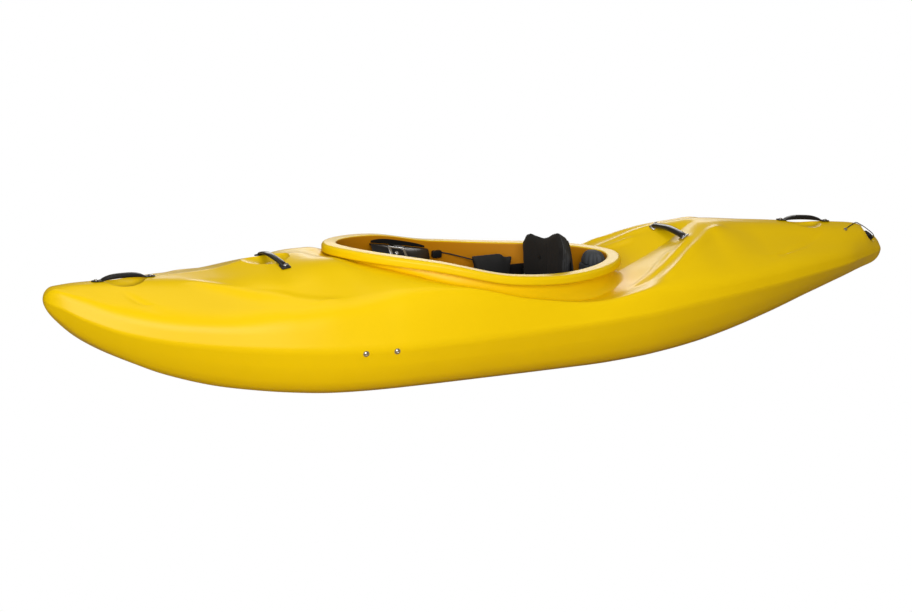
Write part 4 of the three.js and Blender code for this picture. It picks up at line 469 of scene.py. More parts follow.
# The section of the lip, as (outward, drop) pairs along three arcs: inner edge, outer edge and underside
lip = []
for centre_out, centre_drop, radius, start, stop, steps in (
        (0.006, 0.006, 0.006, 180, 90, 5), (RIM_WIDTH - 0.011, 0.011, 0.011, 90, 0, 8),
        (RIM_WIDTH - 0.007, RIM_THICKNESS - 0.007, 0.007, 0, -90, 6)):
    for step in range(steps + 1):
        angle = math.radians(start + (stop - start) * step / steps)
        lip.append((centre_out + radius * math.cos(angle), centre_drop - radius * math.sin(angle)))
rim_rings = []
for (x, y), (out_x, out_y) in zip(rim_points, rim_outward):
    top = float(rim_top(x))
    flare = RIM_FLARE + REAR_FLARE * max(0.0, -out_x) ** 1.5
    toe_out = RIM_WALL + flare
    toe_z = deck_height(x + toe_out * out_x, y + toe_out * out_y) - 0.0015
    neck_z = top - RIM_THICKNESS - 0.001
    ring = [(out, top - drop) for out, drop in lip]
    for step in range(9):
        t = math.pi / 2 * step / 8
        ring.append((RIM_WALL + flare * (1 - math.cos(t)), neck_z - (neck_z - toe_z) * math.sin(t)))
    ring += [(toe_out, toe_z - RIM_SUNK), (0.002, min(toe_z, deck_height(x, y)) - RIM_SUNK)]
    rim_rings.append([(x + out * out_x, y + out * out_y, z) for out, z in ring])


def select_only(*pieces):
    """Selects pieces, with the first as the active one."""
    bpy.ops.object.select_all(action="DESELECT")
    for piece in pieces:
        piece.select_set(True)
    bpy.context.view_layer.objects.active = pieces[0]


def apply_modifier(piece, kind, **settings):
    """Gives a piece a modifier with its settings, and applies it."""
    modifier = piece.modifiers.new(kind.lower(), kind)
    for setting, value in settings.items():
        setattr(modifier, setting, value)
    select_only(piece)
    bpy.ops.object.modifier_apply(modifier=modifier.name)


def combine(piece, other, operation):
    """Joins another solid to a piece, cuts it away or keeps what they share, and removes the other."""
    apply_modifier(piece, "BOOLEAN", operation=operation, solver="MANIFOLD", object=other)
    bpy.data.objects.remove(other, do_unlink=True)


combine(hull, solid_from_rings("rim", rim_rings, in_a_loop=True), "UNION")

# Hand dishes under the grab handles, and the finger dish at the front bar
DISH_RADII = (0.062, 0.058, 0.026)
BAR_DISH_RADII = (0.075, 0.066, 0.027)
HANDLE_BOLT_SPACING = 0.162
FRONT_BAR_X = 0.497 * HALF_LENGTH
BAR_DISH_X = FRONT_BAR_X + 0.026


def at(place, turn=0.0, axis="Y"):
    """The frame that turns a piece about an axis and then takes it to a place."""
    return Matrix.Translation(place) @ Matrix.Rotation(turn, 4, axis)


def add_shape(primitive, name, frame_of, **sizes):
    """A primitive of the given sizes, named and set in a frame."""
    bpy.ops.object.select_all(action="DESELECT")
    primitive(**sizes)
    piece = bpy.context.object
    piece.name = name
    piece.data.transform(frame_of)
    return piece


def add_ball(name, frame_of, radii):
    """A solid with a radius of its own along each axis."""
    return add_shape(bpy.ops.mesh.primitive_uv_sphere_add, name, frame_of @ Matrix.Diagonal((*radii, 1)),
                     segments=64, ring_count=32, radius=1)


handle_frames = {}
for name, share in (("bow", 0.827), ("stern", -0.7925)):
    x = share * HALF_LENGTH
    ahead = deck_height(x + HANDLE_BOLT_SPACING / 2, 0)
    behind = deck_height(x - HANDLE_BOLT_SPACING / 2, 0)
    tilt = math.atan2(behind - ahead, HANDLE_BOLT_SPACING)
    handle_frames[name] = at((x, 0, (ahead + behind) / 2), tilt)
dishes = [(stand, DISH_RADII) for stand in handle_frames.values()]
dishes.append((at((BAR_DISH_X, 0, deck_height(BAR_DISH_X, 0))), BAR_DISH_RADII))
both_skins = ((hull, 0), (hull_inside, HULL_WALL))
for stand, radii in dishes:
    for solid, growth in both_skins:
        combine(solid, add_ball("dish", stand, [radius + growth for radius in radii]), "DIFFERENCE")

# Drain recess: a shallow cone, its floor square to the sloping stern
DRAIN_X, DRAIN_Y = -1.318, 0.022
DRAIN_TILT = math.radians(-44)
DRAIN_DEPTH = 0.015
RECESS_RADIUS, RECESS_MOUTH = 0.023, 0.031
RECESS_RISE = 0.055
DRAIN_HOLE = 0.0125
recess_floor = at((DRAIN_X, DRAIN_Y, deck_height(DRAIN_X, DRAIN_Y)), DRAIN_TILT) @ at((0, 0, -DRAIN_DEPTH))


def add_cone(name, low, low_radius, high, high_radius):
    """A cone on the axis of the drain, between two heights over the floor of the recess."""
    return add_shape(bpy.ops.mesh.primitive_cone_add, name, recess_floor @ at((0, 0, (low + high) / 2)),
                     vertices=64, radius1=low_radius, radius2=high_radius, depth=high - low)


flare = (RECESS_MOUTH - RECESS_RADIUS) / DRAIN_DEPTH * RECESS_RISE
for solid, growth in both_skins:
    radius = RECESS_RADIUS + growth
    combine(solid, add_cone("recess", -growth, radius, RECESS_RISE, radius + flare), "DIFFERENCE")
inside_skin = BVHTree.FromObject(hull_inside, bpy.context.evaluated_depsgraph_get())
combine(hull, hull_inside, "DIFFERENCE")


def bridge(mesh, first, second):
    """Faces between two rings of points."""
    for i in range(len(first)):
        other = (i + 1) % len(first)
        mesh.faces.new((first[i], first[other], second[other], second[i]))


def prism(name, outline, low, high, axis):
    """A closed solid with a flat outline, drawn out along an axis: x, y or z."""
    order = {"x": lambda a, b, c: (c, a, b), "y": lambda a, b, c: (a, c, b), "z": lambda a, b, c: (a, b, c)}
    mesh = bmesh.new()
    start = [mesh.verts.new(order[axis](a, b, low)) for a, b in outline]
    end = [mesh.verts.new(order[axis](a, b, high)) for a, b in outline]
    bridge(mesh, start, end)
    mesh.faces.new(start)
    mesh.faces.new(end)
    return finished(name, mesh)


# The cockpit opening through deck and rim, and the hole for the drain bush
combine(hull, prism("opening", rim_points - 0.0004 * rim_outward, 0.13, 0.44, "z"), "DIFFERENCE")
combine(hull, add_cone("drain_hole", -0.03, DRAIN_HOLE, 0.01, DRAIN_HOLE), "DIFFERENCE")
select_only(hull)
bpy.ops.object.shade_smooth_by_angle(angle=math.radians(32))
apply_modifier(hull, "WEIGHTED_NORMAL", keep_sharp=True, weight=50)


def node_group(name, inputs, output):
    """A shader node group that turns numbers into a number and a normal, with its two end nodes."""
    group = bpy.data.node_groups.new(name, "ShaderNodeTree")
    for socket, value in inputs.items():
        item = group.interface.new_socket(socket, in_out="INPUT", socket_type="NodeSocketFloat")
        item.default_value = value
    for socket, kind in ((output, "NodeSocketFloat"), ("Normal", "NodeSocketVector")):
        group.interface.new_socket(socket, in_out="OUTPUT", socket_type=kind)
    return group, group.nodes.new("NodeGroupInput"), group.nodes.new("NodeGroupOutput")


# The fine grain that a mould leaves on plastic, and the faint cloudiness of its colour
grain_group, given, result = node_group(
    "moulded_grain", {"Scale": 900.0, "Depth": 0.1, "Cloud Scale": 5.0}, "Cloud")
place = add_node(grain_group, "TexCoord")
grain = add_node(grain_group, "TexNoise", {"Detail": 3})
cloud = add_node(grain_group, "TexNoise", {"Detail": 2})
bump = add_node(grain_group, "Bump", {"Distance": 0.0004})
wire(grain_group, (place, "Object", grain, "Vector"), (place, "Object", cloud, "Vector"),
     (given, "Scale", grain, "Scale"), (given, "Cloud Scale", cloud, "Scale"),
     (given, "Depth", bump, "Strength"), (grain, "Fac", bump, "Height"),
     (cloud, "Fac", result, "Cloud"), (bump, "Normal", result, "Normal"))


def two_toned(name, colour, other_colour, group, settings, share, values):
    """A material whose colour drifts between two close tones by the share that a node group gives."""
    material, tree, shader = new_material(name, values)
    effect = tree.nodes.new("ShaderNodeGroup")
    effect.node_tree = group
    set_inputs(effect, settings)
    tone = add_tone(tree, colour, other_colour)
    wire(tree, (effect, share, tone, "Factor"), (tone, "Result", shader, "Base Color"),
         (effect, "Normal", shader, "Normal"))
    return material


def moulded(name, colour, other_colour, roughness, scale, depth, cloud_scale, shine=0.5, metallic=0, coat=0):
    """A hard material with moulded grain."""
    return two_toned(
        name, colour, other_colour, grain_group,
        {"Scale": scale, "Depth": depth, "Cloud Scale": cloud_scale}, "Cloud",
        {"Roughness": roughness, "Specular IOR Level": shine, "Metallic": metallic, "Coat Weight": coat})


def give_finish(piece, material):
    """Gives a piece a finish in place of any it has."""
    piece.data.materials.clear()
    piece.data.materials.append(material)


polyethylene = moulded("yellow_polyethylene", (0.93, 0.65, 0.0015), (0.87, 0.585, 0.001),
                       0.32, 700, 0.12, 3.5, shine=0.17)
give_finish(hull, polyethylene)
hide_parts("hull_shell")
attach(hull, "hull")

# The inside of the moulding and the walls of the opening are painted a deep orange: painted shade for the dim
# light inside the hull and its yellow bounce.
INSIDE_REACHED = 0.0008
painted_shade_polyethylene = moulded("painted_shade_polyethylene", (0.62, 0.25, 0.003), (0.56, 0.21, 0.002),
                              0.5, 700, 0.12, 3.5, shine=0.2)
hull.data.materials.append(painted_shade_polyethylene)
for polygon in hull.data.polygons:
    distance = inside_skin.find_nearest(polygon.center)[3]
    spot = np.array(polygon.center.xy)
    near = int(np.argmin(np.hypot(*(rim_points - spot).T)))
    off_edge = float((spot - rim_points[near]) @ rim_outward[near])
    # The walls of the cockpit opening take the painted shade as well.
    on_opening = off_edge < 0.004 and abs(polygon.normal.z) < 0.5
    if distance < INSIDE_REACHED or on_opening:
        polygon.material_index = 1

# Grab handles
# A thick strap of black plastic at each end of the deck, moulded in one piece with a thin tab at either end.
# It arches over the hand dish, and a bolt goes through each tab and the deck.
HANDLE_END = 0.095
HANDLE_ROOT = 0.065
HANDLE_RISE = 0.0168
HANDLE_THICKNESS = 0.0135
HANDLE_TAB = 0.0028
HANDLE_HALF_WIDTH = 0.012
HANDLE_CORNER = 0.012
HANDLE_SQUARENESS = 3.2
black_plastic = moulded("black_plastic", (0.006, 0.006, 0.0065), (0.013, 0.013, 0.014),
                        0.4, 1400, 0.15, 20, shine=0.28)
fit_gap = 0.0003


def oval(half_width, half_height, squareness, count=20):
    """A rounded section, as (across, up) pairs, that nears a rectangle as its squareness grows."""
    section = []
    for step in range(count):
        angle = 2 * math.pi * step / count
        across, up = math.cos(angle), math.sin(angle)
        section.append((half_width * math.copysign(abs(across) ** (2 / squareness), across),
                        half_height * math.copysign(abs(up) ** (2 / squareness), up)))
    return section


def stand_on(piece, frame_of):
    """Puts the mesh of a piece, drawn round the origin, where it belongs."""
    piece.data.transform(frame_of)
    return piece


def dress(piece, material, slot, body, *replaced, angle=35):
    """Gives a piece its finish, its body and the parts of the frame that it stands for."""
    select_only(piece)
    bpy.ops.object.shade_smooth_by_angle(angle=math.radians(angle))
    if not any(piece.data.materials):
        give_finish(piece, material)
    if replaced:
        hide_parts(*replaced)
    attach(piece, body)


rear_half = np.concatenate([
    -HANDLE_END + HANDLE_CORNER * (1 - np.cos(np.linspace(0.15, math.pi / 2, 7))),
    np.linspace(-0.082, -HANDLE_ROOT - 0.003, 4), np.linspace(-HANDLE_ROOT, 0, 19)])
for name, stand in handle_frames.items():
    rings = []
    for along in np.concatenate([rear_half, -rear_half[-2::-1]]):
        off_end = min(HANDLE_END - abs(along), HANDLE_CORNER)
        corner = math.sqrt(max(HANDLE_CORNER ** 2 - (HANDLE_CORNER - off_end) ** 2, 1e-8))
        arch = max(0.0, 1 - (along / HANDLE_ROOT) ** 2)
        low = (HANDLE_RISE - HANDLE_THICKNESS) * arch
        high = HANDLE_TAB + (HANDLE_RISE - HANDLE_TAB) * max(0.0, 1 - abs(along / HANDLE_ROOT) ** 3) ** 0.8
        section = oval(corner * HANDLE_HALF_WIDTH / HANDLE_CORNER, (high - low) / 2, HANDLE_SQUARENESS)
        rings.append([(along, across * (1 - 0.06 * arch), (low + high) / 2 + up) for across, up in section])
    handle = stand_on(solid_from_rings(f"{name}_handle", rings), stand @ at((0, 0, fit_gap)))
    dress(handle, black_plastic, "black_plastic", "hull", f"{name}_grab_handle")

# Bolts
# Button-head bolts of stainless steel with a socket for the key, each drawn up by a nut under the deck.
# They hold the grab handles and the security bars, so that the boat can be lifted and roped by them.
BOLT_RADIUS = 0.003
BOLT_HEAD_RADIUS = 0.006
BOLT_HEAD_HEIGHT = 0.003
NUT_RADIUS = 0.0055
NUT_HEIGHT = 0.005
NUT_ROOM = 0.004
stainless = moulded("stainless_steel", (0.62, 0.62, 0.63), (0.5, 0.5, 0.52), 0.24, 2500, 0.06, 60, metallic=1)


def step_top(piece, *steps):
    """Works the top faces of a piece into steps, each given as its inset and its rise."""
    select_only(piece)
    bpy.ops.object.mode_set(mode="EDIT")
    bpy.ops.mesh.select_mode(type="FACE")
    bpy.ops.mesh.select_all(action="DESELECT")
    mesh = bmesh.from_edit_mesh(piece.data)
    for face in mesh.faces:
        face.select_set(face.normal.z > 0.9)
    bmesh.update_edit_mesh(piece.data)
    for inset, rise in steps:
        bpy.ops.mesh.inset(thickness=inset, depth=rise)
    bpy.ops.object.mode_set(mode="OBJECT")


def add_rod(name, radius, low, high, sides=24):
    """A plain cylinder along the upright axis."""
    return add_shape(bpy.ops.mesh.primitive_cylinder_add, name, at((0, 0, (low + high) / 2)),
                     vertices=sides, radius=radius, depth=high - low)


def join(piece, *others):
    """Makes one piece of several, with the name of the first."""
    select_only(piece, *others)
    bpy.ops.object.join()
    return piece


def add_bolt(name, reach, head_from=0.0, nut=True):
    """A button-head bolt on the upright axis that reaches below the origin, with or without its nut."""
    bolt = add_rod(name, BOLT_HEAD_RADIUS, head_from, head_from + 0.55 * BOLT_HEAD_HEIGHT)
    step_top(bolt, (0.0011, 0.3 * BOLT_HEAD_HEIGHT), (0.0016, 0.15 * BOLT_HEAD_HEIGHT), (0.0008, 0),
             (0.0001, -0.5 * BOLT_HEAD_HEIGHT))
    parts = [add_rod(name + "_shank", BOLT_RADIUS, -reach, head_from + 0.0002, 16)]
    if nut:
        parts.append(add_rod(name + "_nut", NUT_RADIUS, -reach, -reach + NUT_HEIGHT, 6))
    return join(bolt, *parts)


def placed_copy(pattern, name, frame_of):
    """A copy of a pattern with a mesh of its own, set where it belongs."""
    piece = pattern.copy()
    piece.data = pattern.data.copy()
    piece.name = name
    bpy.context.collection.objects.link(piece)
    return stand_on(piece, frame_of)


tab_top = 2 * fit_gap + HANDLE_TAB
handle_bolt = add_bolt("handle_bolt", tab_top + HULL_WALL + NUT_ROOM + NUT_HEIGHT)
for name, stand in handle_frames.items():
    for place, end in (("aft", -1), ("forward", 1)):
        seat = stand @ at((end * HANDLE_BOLT_SPACING / 2, 0, tab_top))
        bolt = placed_copy(handle_bolt, f"{name}_bolt_{place}", seat)
        dress(bolt, stainless, "stainless_steel", "hull", f"{name}_handle_bolt_{place}")
bpy.data.objects.remove(handle_bolt, do_unlink=True)

# Security bars
# A bent bar across the deck, before and behind the cockpit, for a rope or a lock. Steel under a black coat,
# with each end flattened to a foot and bolted down through the deck.
REAR_BAR_X = -0.45 * HALF_LENGTH
BAR_HALF_SPAN = 0.09
BAR_FOOT = (0.028, 0.026, 0.005)
BAR_FOOT_LIFT = 0.0012
BAR_FOOT_ROUNDING = 0.0018
BAR_SQUARENESS = 3.0
BAR_LIFT = BAR_FOOT_LIFT + BAR_FOOT[2] / 2
BAR_BEND = ((-0.98, 0, 0), (-0.72, 0.45, 0.3), (0, 1, 1), (0.72, 0.45, 0.3), (0.98, 0, 0))
SIDES = (("port", 1), ("starboard", -1))
coated_bar = moulded("coated_bar", (0.008, 0.008, 0.009), (0.016, 0.017, 0.019), 0.3, 1100, 0.12, 25,
                     shine=0.35, coat=0.1)


def square_to(normal):
    """The turn that stands an upright piece square to a surface."""
    return Vector((0, 0, 1)).rotation_difference(normal).to_matrix().to_4x4()


def round_edges(piece, width, segments=3, angle=40):
    """Rounds the edges of a piece that are sharper than an angle."""
    apply_modifier(piece, "BEVEL", width=width, segments=segments, limit_method="ANGLE",
                   angle_limit=math.radians(angle))


bar_bolt = add_bolt("bar_bolt", BAR_FOOT_LIFT + BAR_FOOT[2] + fit_gap + HULL_WALL + NUT_ROOM + NUT_HEIGHT)
for name, x, rise, bow, section, foot_finish in (
        ("front", FRONT_BAR_X, 0.024, 0.014, (0.0105, 0.0042), coated_bar),
        ("rear", REAR_BAR_X, 0.0135, 0.003, (0.0115, 0.0078), stainless)):
    base = deck_height(x, BAR_HALF_SPAN)
    route = [(x + bow * ahead, across * BAR_HALF_SPAN, base + BAR_LIFT + (rise - BAR_LIFT) * up)
             for across, up, ahead in BAR_BEND]
    bar = sweep(f"{name}_bar", smooth_path(route, 12), oval(*section, BAR_SQUARENESS), up=(0, 0, 1))
    bar.data.materials.append(coated_bar)
    feet = []
    for side_name, side in SIDES:
        turn = square_to(deck_normal(x, side * BAR_HALF_SPAN))
        foot_frame = Matrix.Translation((x, side * BAR_HALF_SPAN, base)) @ turn
        foot = add_shape(bpy.ops.mesh.primitive_cube_add, "foot", Matrix.Diagonal((*BAR_FOOT, 1)), size=1)
        round_edges(foot, BAR_FOOT_ROUNDING)
        foot.data.materials.append(foot_finish)
        feet.append(stand_on(foot, foot_frame @ at((0, 0, BAR_LIFT))))
        seat = foot_frame @ at((0, 0, BAR_FOOT_LIFT + BAR_FOOT[2] + fit_gap))
        bolt = placed_copy(bar_bolt, f"{name}_foot_bolt_{side_name}", seat)
        dress(bolt, stainless, "stainless_steel", "hull", f"{name}_bar_bolt_{side_name}")
    join(bar, *feet)
    dress(bar, coated_bar, "black_plastic", "hull", f"{name}_security_bar")
bpy.data.objects.remove(bar_bolt, do_unlink=True)

# Side bolts
# Two stainless bolts through each side below the knuckle, on wide washers that spread the load of the
# footrest. Each is screwed into the track that the footrest arm slides in.
SIDE_BOLT_MIDDLE_X = 0.35345 * HALF_LENGTH
SIDE_BOLT_HALF_SPACING = 0.046
SIDE_BOLT_Z = 0.138
SIDE_BOLT_REACH = 0.013
SLOPE_STEP = 0.012
WASHER_RADIUS = 0.009
WASHER_THICKNESS = 0.0016
WASHER_LIFT = 0.0008


def side_breadth(x, z):
    """Half breadth of the hull at a height below the shoulder."""
    low = half_sections(np.array([math.asin(x / HALF_LENGTH) / (math.pi / 2)]))[0][:deck_from]
    return float(np.interp(z, low[:, 1], low[:, 0]))


side_bolt = add_bolt("side_bolt", HULL_WALL + SIDE_BOLT_REACH, WASHER_THICKNESS, nut=False)
washer = add_rod("washer", WASHER_RADIUS, 0, WASHER_THICKNESS, 32)
step_top(washer, (0.0006, 0.0002))
join(side_bolt, washer)
for side_name, side in SIDES:
    for place_name, end in (("aft", -1), ("forward", 1)):
        x, z = SIDE_BOLT_MIDDLE_X + end * SIDE_BOLT_HALF_SPACING, SIDE_BOLT_Z
        slope_x = side_breadth(x + SLOPE_STEP, z) - side_breadth(x - SLOPE_STEP, z)
        slope_z = side_breadth(x, z + SLOPE_STEP) - side_breadth(x, z - SLOPE_STEP)
        normal = Vector((-slope_x, side * 2 * SLOPE_STEP, -slope_z)).normalized()
        place = Vector((x, side * side_breadth(x, z), z)) + WASHER_LIFT * normal
        seat = Matrix.Translation(place) @ square_to(normal)
        bolt = placed_copy(side_bolt, f"wall_bolt_{side_name}_{place_name}", seat)
        dress(bolt, stainless, "stainless_steel", "hull", f"side_bolt_{side_name}_{place_name}")
bpy.data.objects.remove(side_bolt, do_unlink=True)

# Foam pillars
# Upright blocks of closed-cell foam at bow and stern, cut to the inside of the hull and wedged in place.
# They keep the deck from folding. The stern one shows behind the backrest, under a ribbed moulded cap.
PILLAR_HALF_BREADTH = 0.042
PILLAR_CAP_TOP = 0.293
PILLAR_CAP_FROM = 0.2555
PILLAR_CAP_HALF_LENGTH = 0.0295
PILLAR_CAP_RIBS = 11
OPENING_REAR = RIM_MIDDLE_X - RIM_LENGTH / 2
POST_FRONT = OPENING_REAR + 0.060
pillar_foam = moulded("pillar_foam", (0.04, 0.047, 0.056), (0.06, 0.068, 0.08), 0.75, 1200, 0.5, 40)


def add_block(name, low, high):
    """A box between two corners."""
    low, high = Vector(low), Vector(high)
    return add_shape(bpy.ops.mesh.primitive_cube_add, name,
                     at((low + high) / 2) @ Matrix.Diagonal((*(high - low), 1)), size=1)


room_rings = skin(np.linspace(-INSIDE_REACH, INSIDE_REACH, 161), HULL_WALL + fit_gap)
for name, x_from, x_to in (("bow", 0.658 * HALF_LENGTH, 0.88 * HALF_LENGTH),
                           ("stern", -0.8364 * HALF_LENGTH, OPENING_REAR + 0.020)):
    pillar = add_block(f"{name}_pillar", (x_from, -PILLAR_HALF_BREADTH, -0.01),
                       (x_to, PILLAR_HALF_BREADTH, 0.45))
    combine(pillar, solid_from_rings("room", room_rings), "INTERSECT")
    stand = handle_frames[name]
    grown = [radius + HULL_WALL + fit_gap for radius in DISH_RADII]
    combine(pillar, add_ball("dish_room", stand, grown), "DIFFERENCE")
    for end in (-1, 1):
        nut_room = add_rod("nut_room", NUT_RADIUS + 0.003, -0.04, 0.04)
        stand_on(nut_room, stand @ at((end * HANDLE_BOLT_SPACING / 2, 0, 0)))
        combine(pillar, nut_room, "DIFFERENCE")
    if name == "stern":
        post = add_block("post", (OPENING_REAR + 0.012, -PILLAR_HALF_BREADTH, HULL_WALL + 0.001),
                         (POST_FRONT, PILLAR_HALF_BREADTH, PILLAR_CAP_FROM - 0.0015))
        round_edges(post, 0.009, 4)
        rings = []
        for level in np.linspace(0, 1, 13):
            turn = level * math.pi / 2
            spread = max(math.cos(turn), 0.02) ** 0.62
            ring = []
            for step in range(96):
                angle = 2 * math.pi * step / 96
                rib = 1 + 0.13 * spread * (abs(math.cos(PILLAR_CAP_RIBS * angle / 2)) - 0.5)
                across, ahead = math.sin(angle), math.cos(angle)
                across = math.copysign(abs(across) ** 0.8, across) * PILLAR_HALF_BREADTH * 0.985
                ahead = math.copysign(abs(ahead) ** 0.8, ahead) * PILLAR_CAP_HALF_LENGTH
                ring.append((POST_FRONT - 0.030 + ahead * spread * rib, across * spread * rib,
                             PILLAR_CAP_FROM + (PILLAR_CAP_TOP - PILLAR_CAP_FROM) * math.sin(turn)))
            rings.append(ring)
        foot, top = np.mean(rings[0], axis=0), np.mean(rings[-1], axis=0) + [0, 0, 0.0002]
        join(pillar, post, solid_from_rings("cap", rings, (foot, top)))
    dress(pillar, pillar_foam, "pillar_foam", "hull", f"{name}_foam_pillar", angle=40)

# Footrest
# Lipped black tracks on the hull wall, and two flat aluminium arms that slide in them and carry a plate.
# The plate is moulded plastic with rounded corners and a foam pad for the feet.
PLATE_X = SIDE_BOLT_MIDDLE_X + 0.290
PLATE_THICKNESS = 0.012
PLATE_CORNER = 0.034
PLATE_HALF_TOP, PLATE_HALF_BOTTOM = 0.198, 0.160
PLATE_BOTTOM, PLATE_TOP = 0.072, 0.246
aluminium = moulded("aluminium_strip", (0.5, 0.51, 0.53), (0.42, 0.43, 0.45), 0.38, 2500, 0.06, 40,
                    metallic=1)


def rounded_outline(corners, radius, steps=6):
    """Points of an outline whose corners are rounded."""
    outline = []
    for i, corner in enumerate(corners):
        corner = Vector(corner)
        before = (Vector(corners[i - 1]) - corner).normalized() * radius
        after = (Vector(corners[(i + 1) % len(corners)]) - corner).normalized() * radius
        for step in range(steps + 1):
            t = step / steps
            outline.append(corner + (1 - t) ** 2 * before + t * t * after)
    return outline


plate_outline = rounded_outline([
    (-PLATE_HALF_BOTTOM, PLATE_BOTTOM), (PLATE_HALF_BOTTOM, PLATE_BOTTOM),
    (PLATE_HALF_TOP, PLATE_TOP), (-PLATE_HALF_TOP, PLATE_TOP)], PLATE_CORNER)
plate = prism("foot_plate", plate_outline, PLATE_X, PLATE_X + PLATE_THICKNESS, "x")
round_edges(plate, 0.003)
dress(plate, black_plastic, "black_plastic", "footrest", "footrest_plate")
for side_name, side in SIDES:
    give_finish(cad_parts[f"footrest_track_{side_name}"], black_plastic)
    give_finish(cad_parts[f"footrest_arm_{side_name}"], aluminium)

# Pads
# Every pad is closed-cell foam under a tight black stretch cloth, puffed over its thickness and drawn in at
# its edges. The cloth here is woven fine and a little fuzzy.
PAD_EDGE = 0.005
PAD_PUFF = 0.003
weave_group, given, result = node_group("stretch_cloth", {"Threads": 520.0, "Depth": 0.35}, "Fuzz")
place = add_node(weave_group, "TexCoord")
threads = add_node(weave_group, "TexVoronoi", {"Randomness": 0.35})
folds = add_node(weave_group, "TexNoise", {"Scale": 38, "Detail": 4})
thread_bump = add_node(weave_group, "Bump", {"Distance": 0.0006})
fold_bump = add_node(weave_group, "Bump", {"Strength": 0.25, "Distance": 0.002})
wire(weave_group, (place, "Object", threads, "Vector"), (place, "Object", folds, "Vector"),
     (given, "Threads", threads, "Scale"), (given, "Depth", thread_bump, "Strength"),
     (threads, "Distance", thread_bump, "Height"), (folds, "Fac", fold_bump, "Height"),
     (thread_bump, "Normal", fold_bump, "Normal"), (folds, "Fac", result, "Fuzz"),
     (fold_bump, "Normal", result, "Normal"))
pad_cover = two_toned("pad_cover", (0.004, 0.0042, 0.0046), (0.010, 0.0105, 0.0115), weave_group, {}, "Fuzz",
                      {"Roughness": 0.78, "Sheen Weight": 0.02, "Sheen Roughness": 0.4})


def crown(u, v):
    """Fullness of a pad: 1 over its middle and 0 along its edges."""
    return max(0.0, math.sin(math.pi * u) * math.sin(math.pi * v)) ** 0.4


def slab(name, place, columns, rows):
    """A closed sheet from a function that gives a point for (u, v) on its front (True) or back (False)."""
    mesh = bmesh.new()
    back, front = [[[mesh.verts.new(place(i / columns, j / rows, side)) for j in range(rows + 1)]
                    for i in range(columns + 1)] for side in (False, True)]
    for sheet in (back, front):
        for i in range(columns):
            for j in range(rows):
                mesh.faces.new((sheet[i][j], sheet[i + 1][j], sheet[i + 1][j + 1], sheet[i][j + 1]))
    for i in range(columns):
        for j in (0, rows):
            mesh.faces.new((back[i][j], back[i + 1][j], front[i + 1][j], front[i][j]))
    for j in range(rows):
        for i in (0, columns):
            mesh.faces.new((back[i][j], back[i][j + 1], front[i][j + 1], front[i][j]))
    return finished(name, mesh)


def smooth_more(piece):
    """Divides each face of a piece in four, smoothly."""
    apply_modifier(piece, "SUBSURF", levels=1, render_levels=1)


CLOTH_FRAMES = 20


def puff(piece, cap, voxel=0.005):
    """Swells a pad from its plain form with cloth under pressure, and lets no point move past the cap."""
    apply_modifier(piece, "REMESH", mode="VOXEL", voxel_size=voxel)
    rest = np.empty(3 * len(piece.data.vertices))
    piece.data.vertices.foreach_get("co", rest)
    cloth = piece.modifiers.new("cloth", "CLOTH")
    cloth.settings.use_pressure = True
    cloth.settings.uniform_pressure_force = 4
    cloth.settings.effector_weights.gravity = 0
    cloth.settings.quality = 4
    bpy.context.scene.frame_end = CLOTH_FRAMES
    for step in range(1, CLOTH_FRAMES + 1):
        bpy.context.scene.frame_set(step)
    swollen = piece.evaluated_get(bpy.context.evaluated_depsgraph_get())
    moved = np.empty(3 * len(piece.data.vertices))
    swollen.data.vertices.foreach_get("co", moved)
    piece.modifiers.remove(cloth)
    bpy.context.scene.frame_set(1)
    shift = (moved - rest).reshape(-1, 3)
    length = np.linalg.norm(shift, axis=1, keepdims=True)
    shift *= np.minimum(1, cap / np.maximum(length, 1e-9))
    piece.data.vertices.foreach_set("co", (rest.reshape(-1, 3) + shift).ravel())
    piece.data.update()
    apply_modifier(piece, "SMOOTH", factor=0.5, iterations=3)
    smooth_more(piece)


# Foot pad
# A slab of foam under black cloth, a little fuller in its middle than along its edges.
# It is glued to the rear face of the footrest plate.
FOOT_PAD_MARGIN = 0.016


def foot_pad_place(u, v, front):
    z = PLATE_BOTTOM + FOOT_PAD_MARGIN + v * (PLATE_TOP - PLATE_BOTTOM - 2 * FOOT_PAD_MARGIN)
    half = PLATE_HALF_BOTTOM + v * (PLATE_HALF_TOP - PLATE_HALF_BOTTOM) - 0.018
    back = PLATE_X - 0.0008
    return (back - PAD_EDGE - 0.013 * crown(u, v) if front else back, half * (2 * u - 1), z)


foot_pad = slab("foot_pad", foot_pad_place, 30, 18)
round_edges(foot_pad, 0.0015, 2)
smooth_more(foot_pad)
dress(foot_pad, pad_cover, "pad_fabric", "footrest", "footrest_pad")

# Seat
# A pan of black plastic moulded as one trough with tall side wings, on two tracks glued to the hull floor.
# It slides fore and aft to trim the boat, and carries the hip pads and the backrest.
PIN_X, PIN_Z, PIN_HOLE = -0.212, 0.213, 0.0044
PAN_HALF = float(rim_half_breadth(PIN_X)) - 0.0297
PAN_WALL = 0.005
PAN_CORNER = 0.042
PAN_FROM, PAN_TO = -0.250, 0.080
WING_HEIGHT, WING_FROM, WING_TO = 0.235, -0.226, -0.062
PAN_BACK, PAN_FRONT = 0.110, 0.046
PAN_BOTTOM = HULL_WALL + fit_gap + 0.014 + fit_gap


def trough(inset):
    """Section of the pan, as (y, z), from the top of one wing to the other."""
    half, turn_z = PAN_HALF - inset, PAN_BOTTOM + PAN_CORNER
    points = [(-half, WING_HEIGHT)]
    radius = PAN_CORNER - inset
    for middle, start in ((-PAN_HALF + PAN_CORNER, 180), (PAN_HALF - PAN_CORNER, 270)):
        for step in range(13):
            angle = math.radians(start + 90 * step / 12)
            points.append((middle + radius * math.cos(angle), turn_z + radius * math.sin(angle)))
    return points + [(half, WING_HEIGHT)]


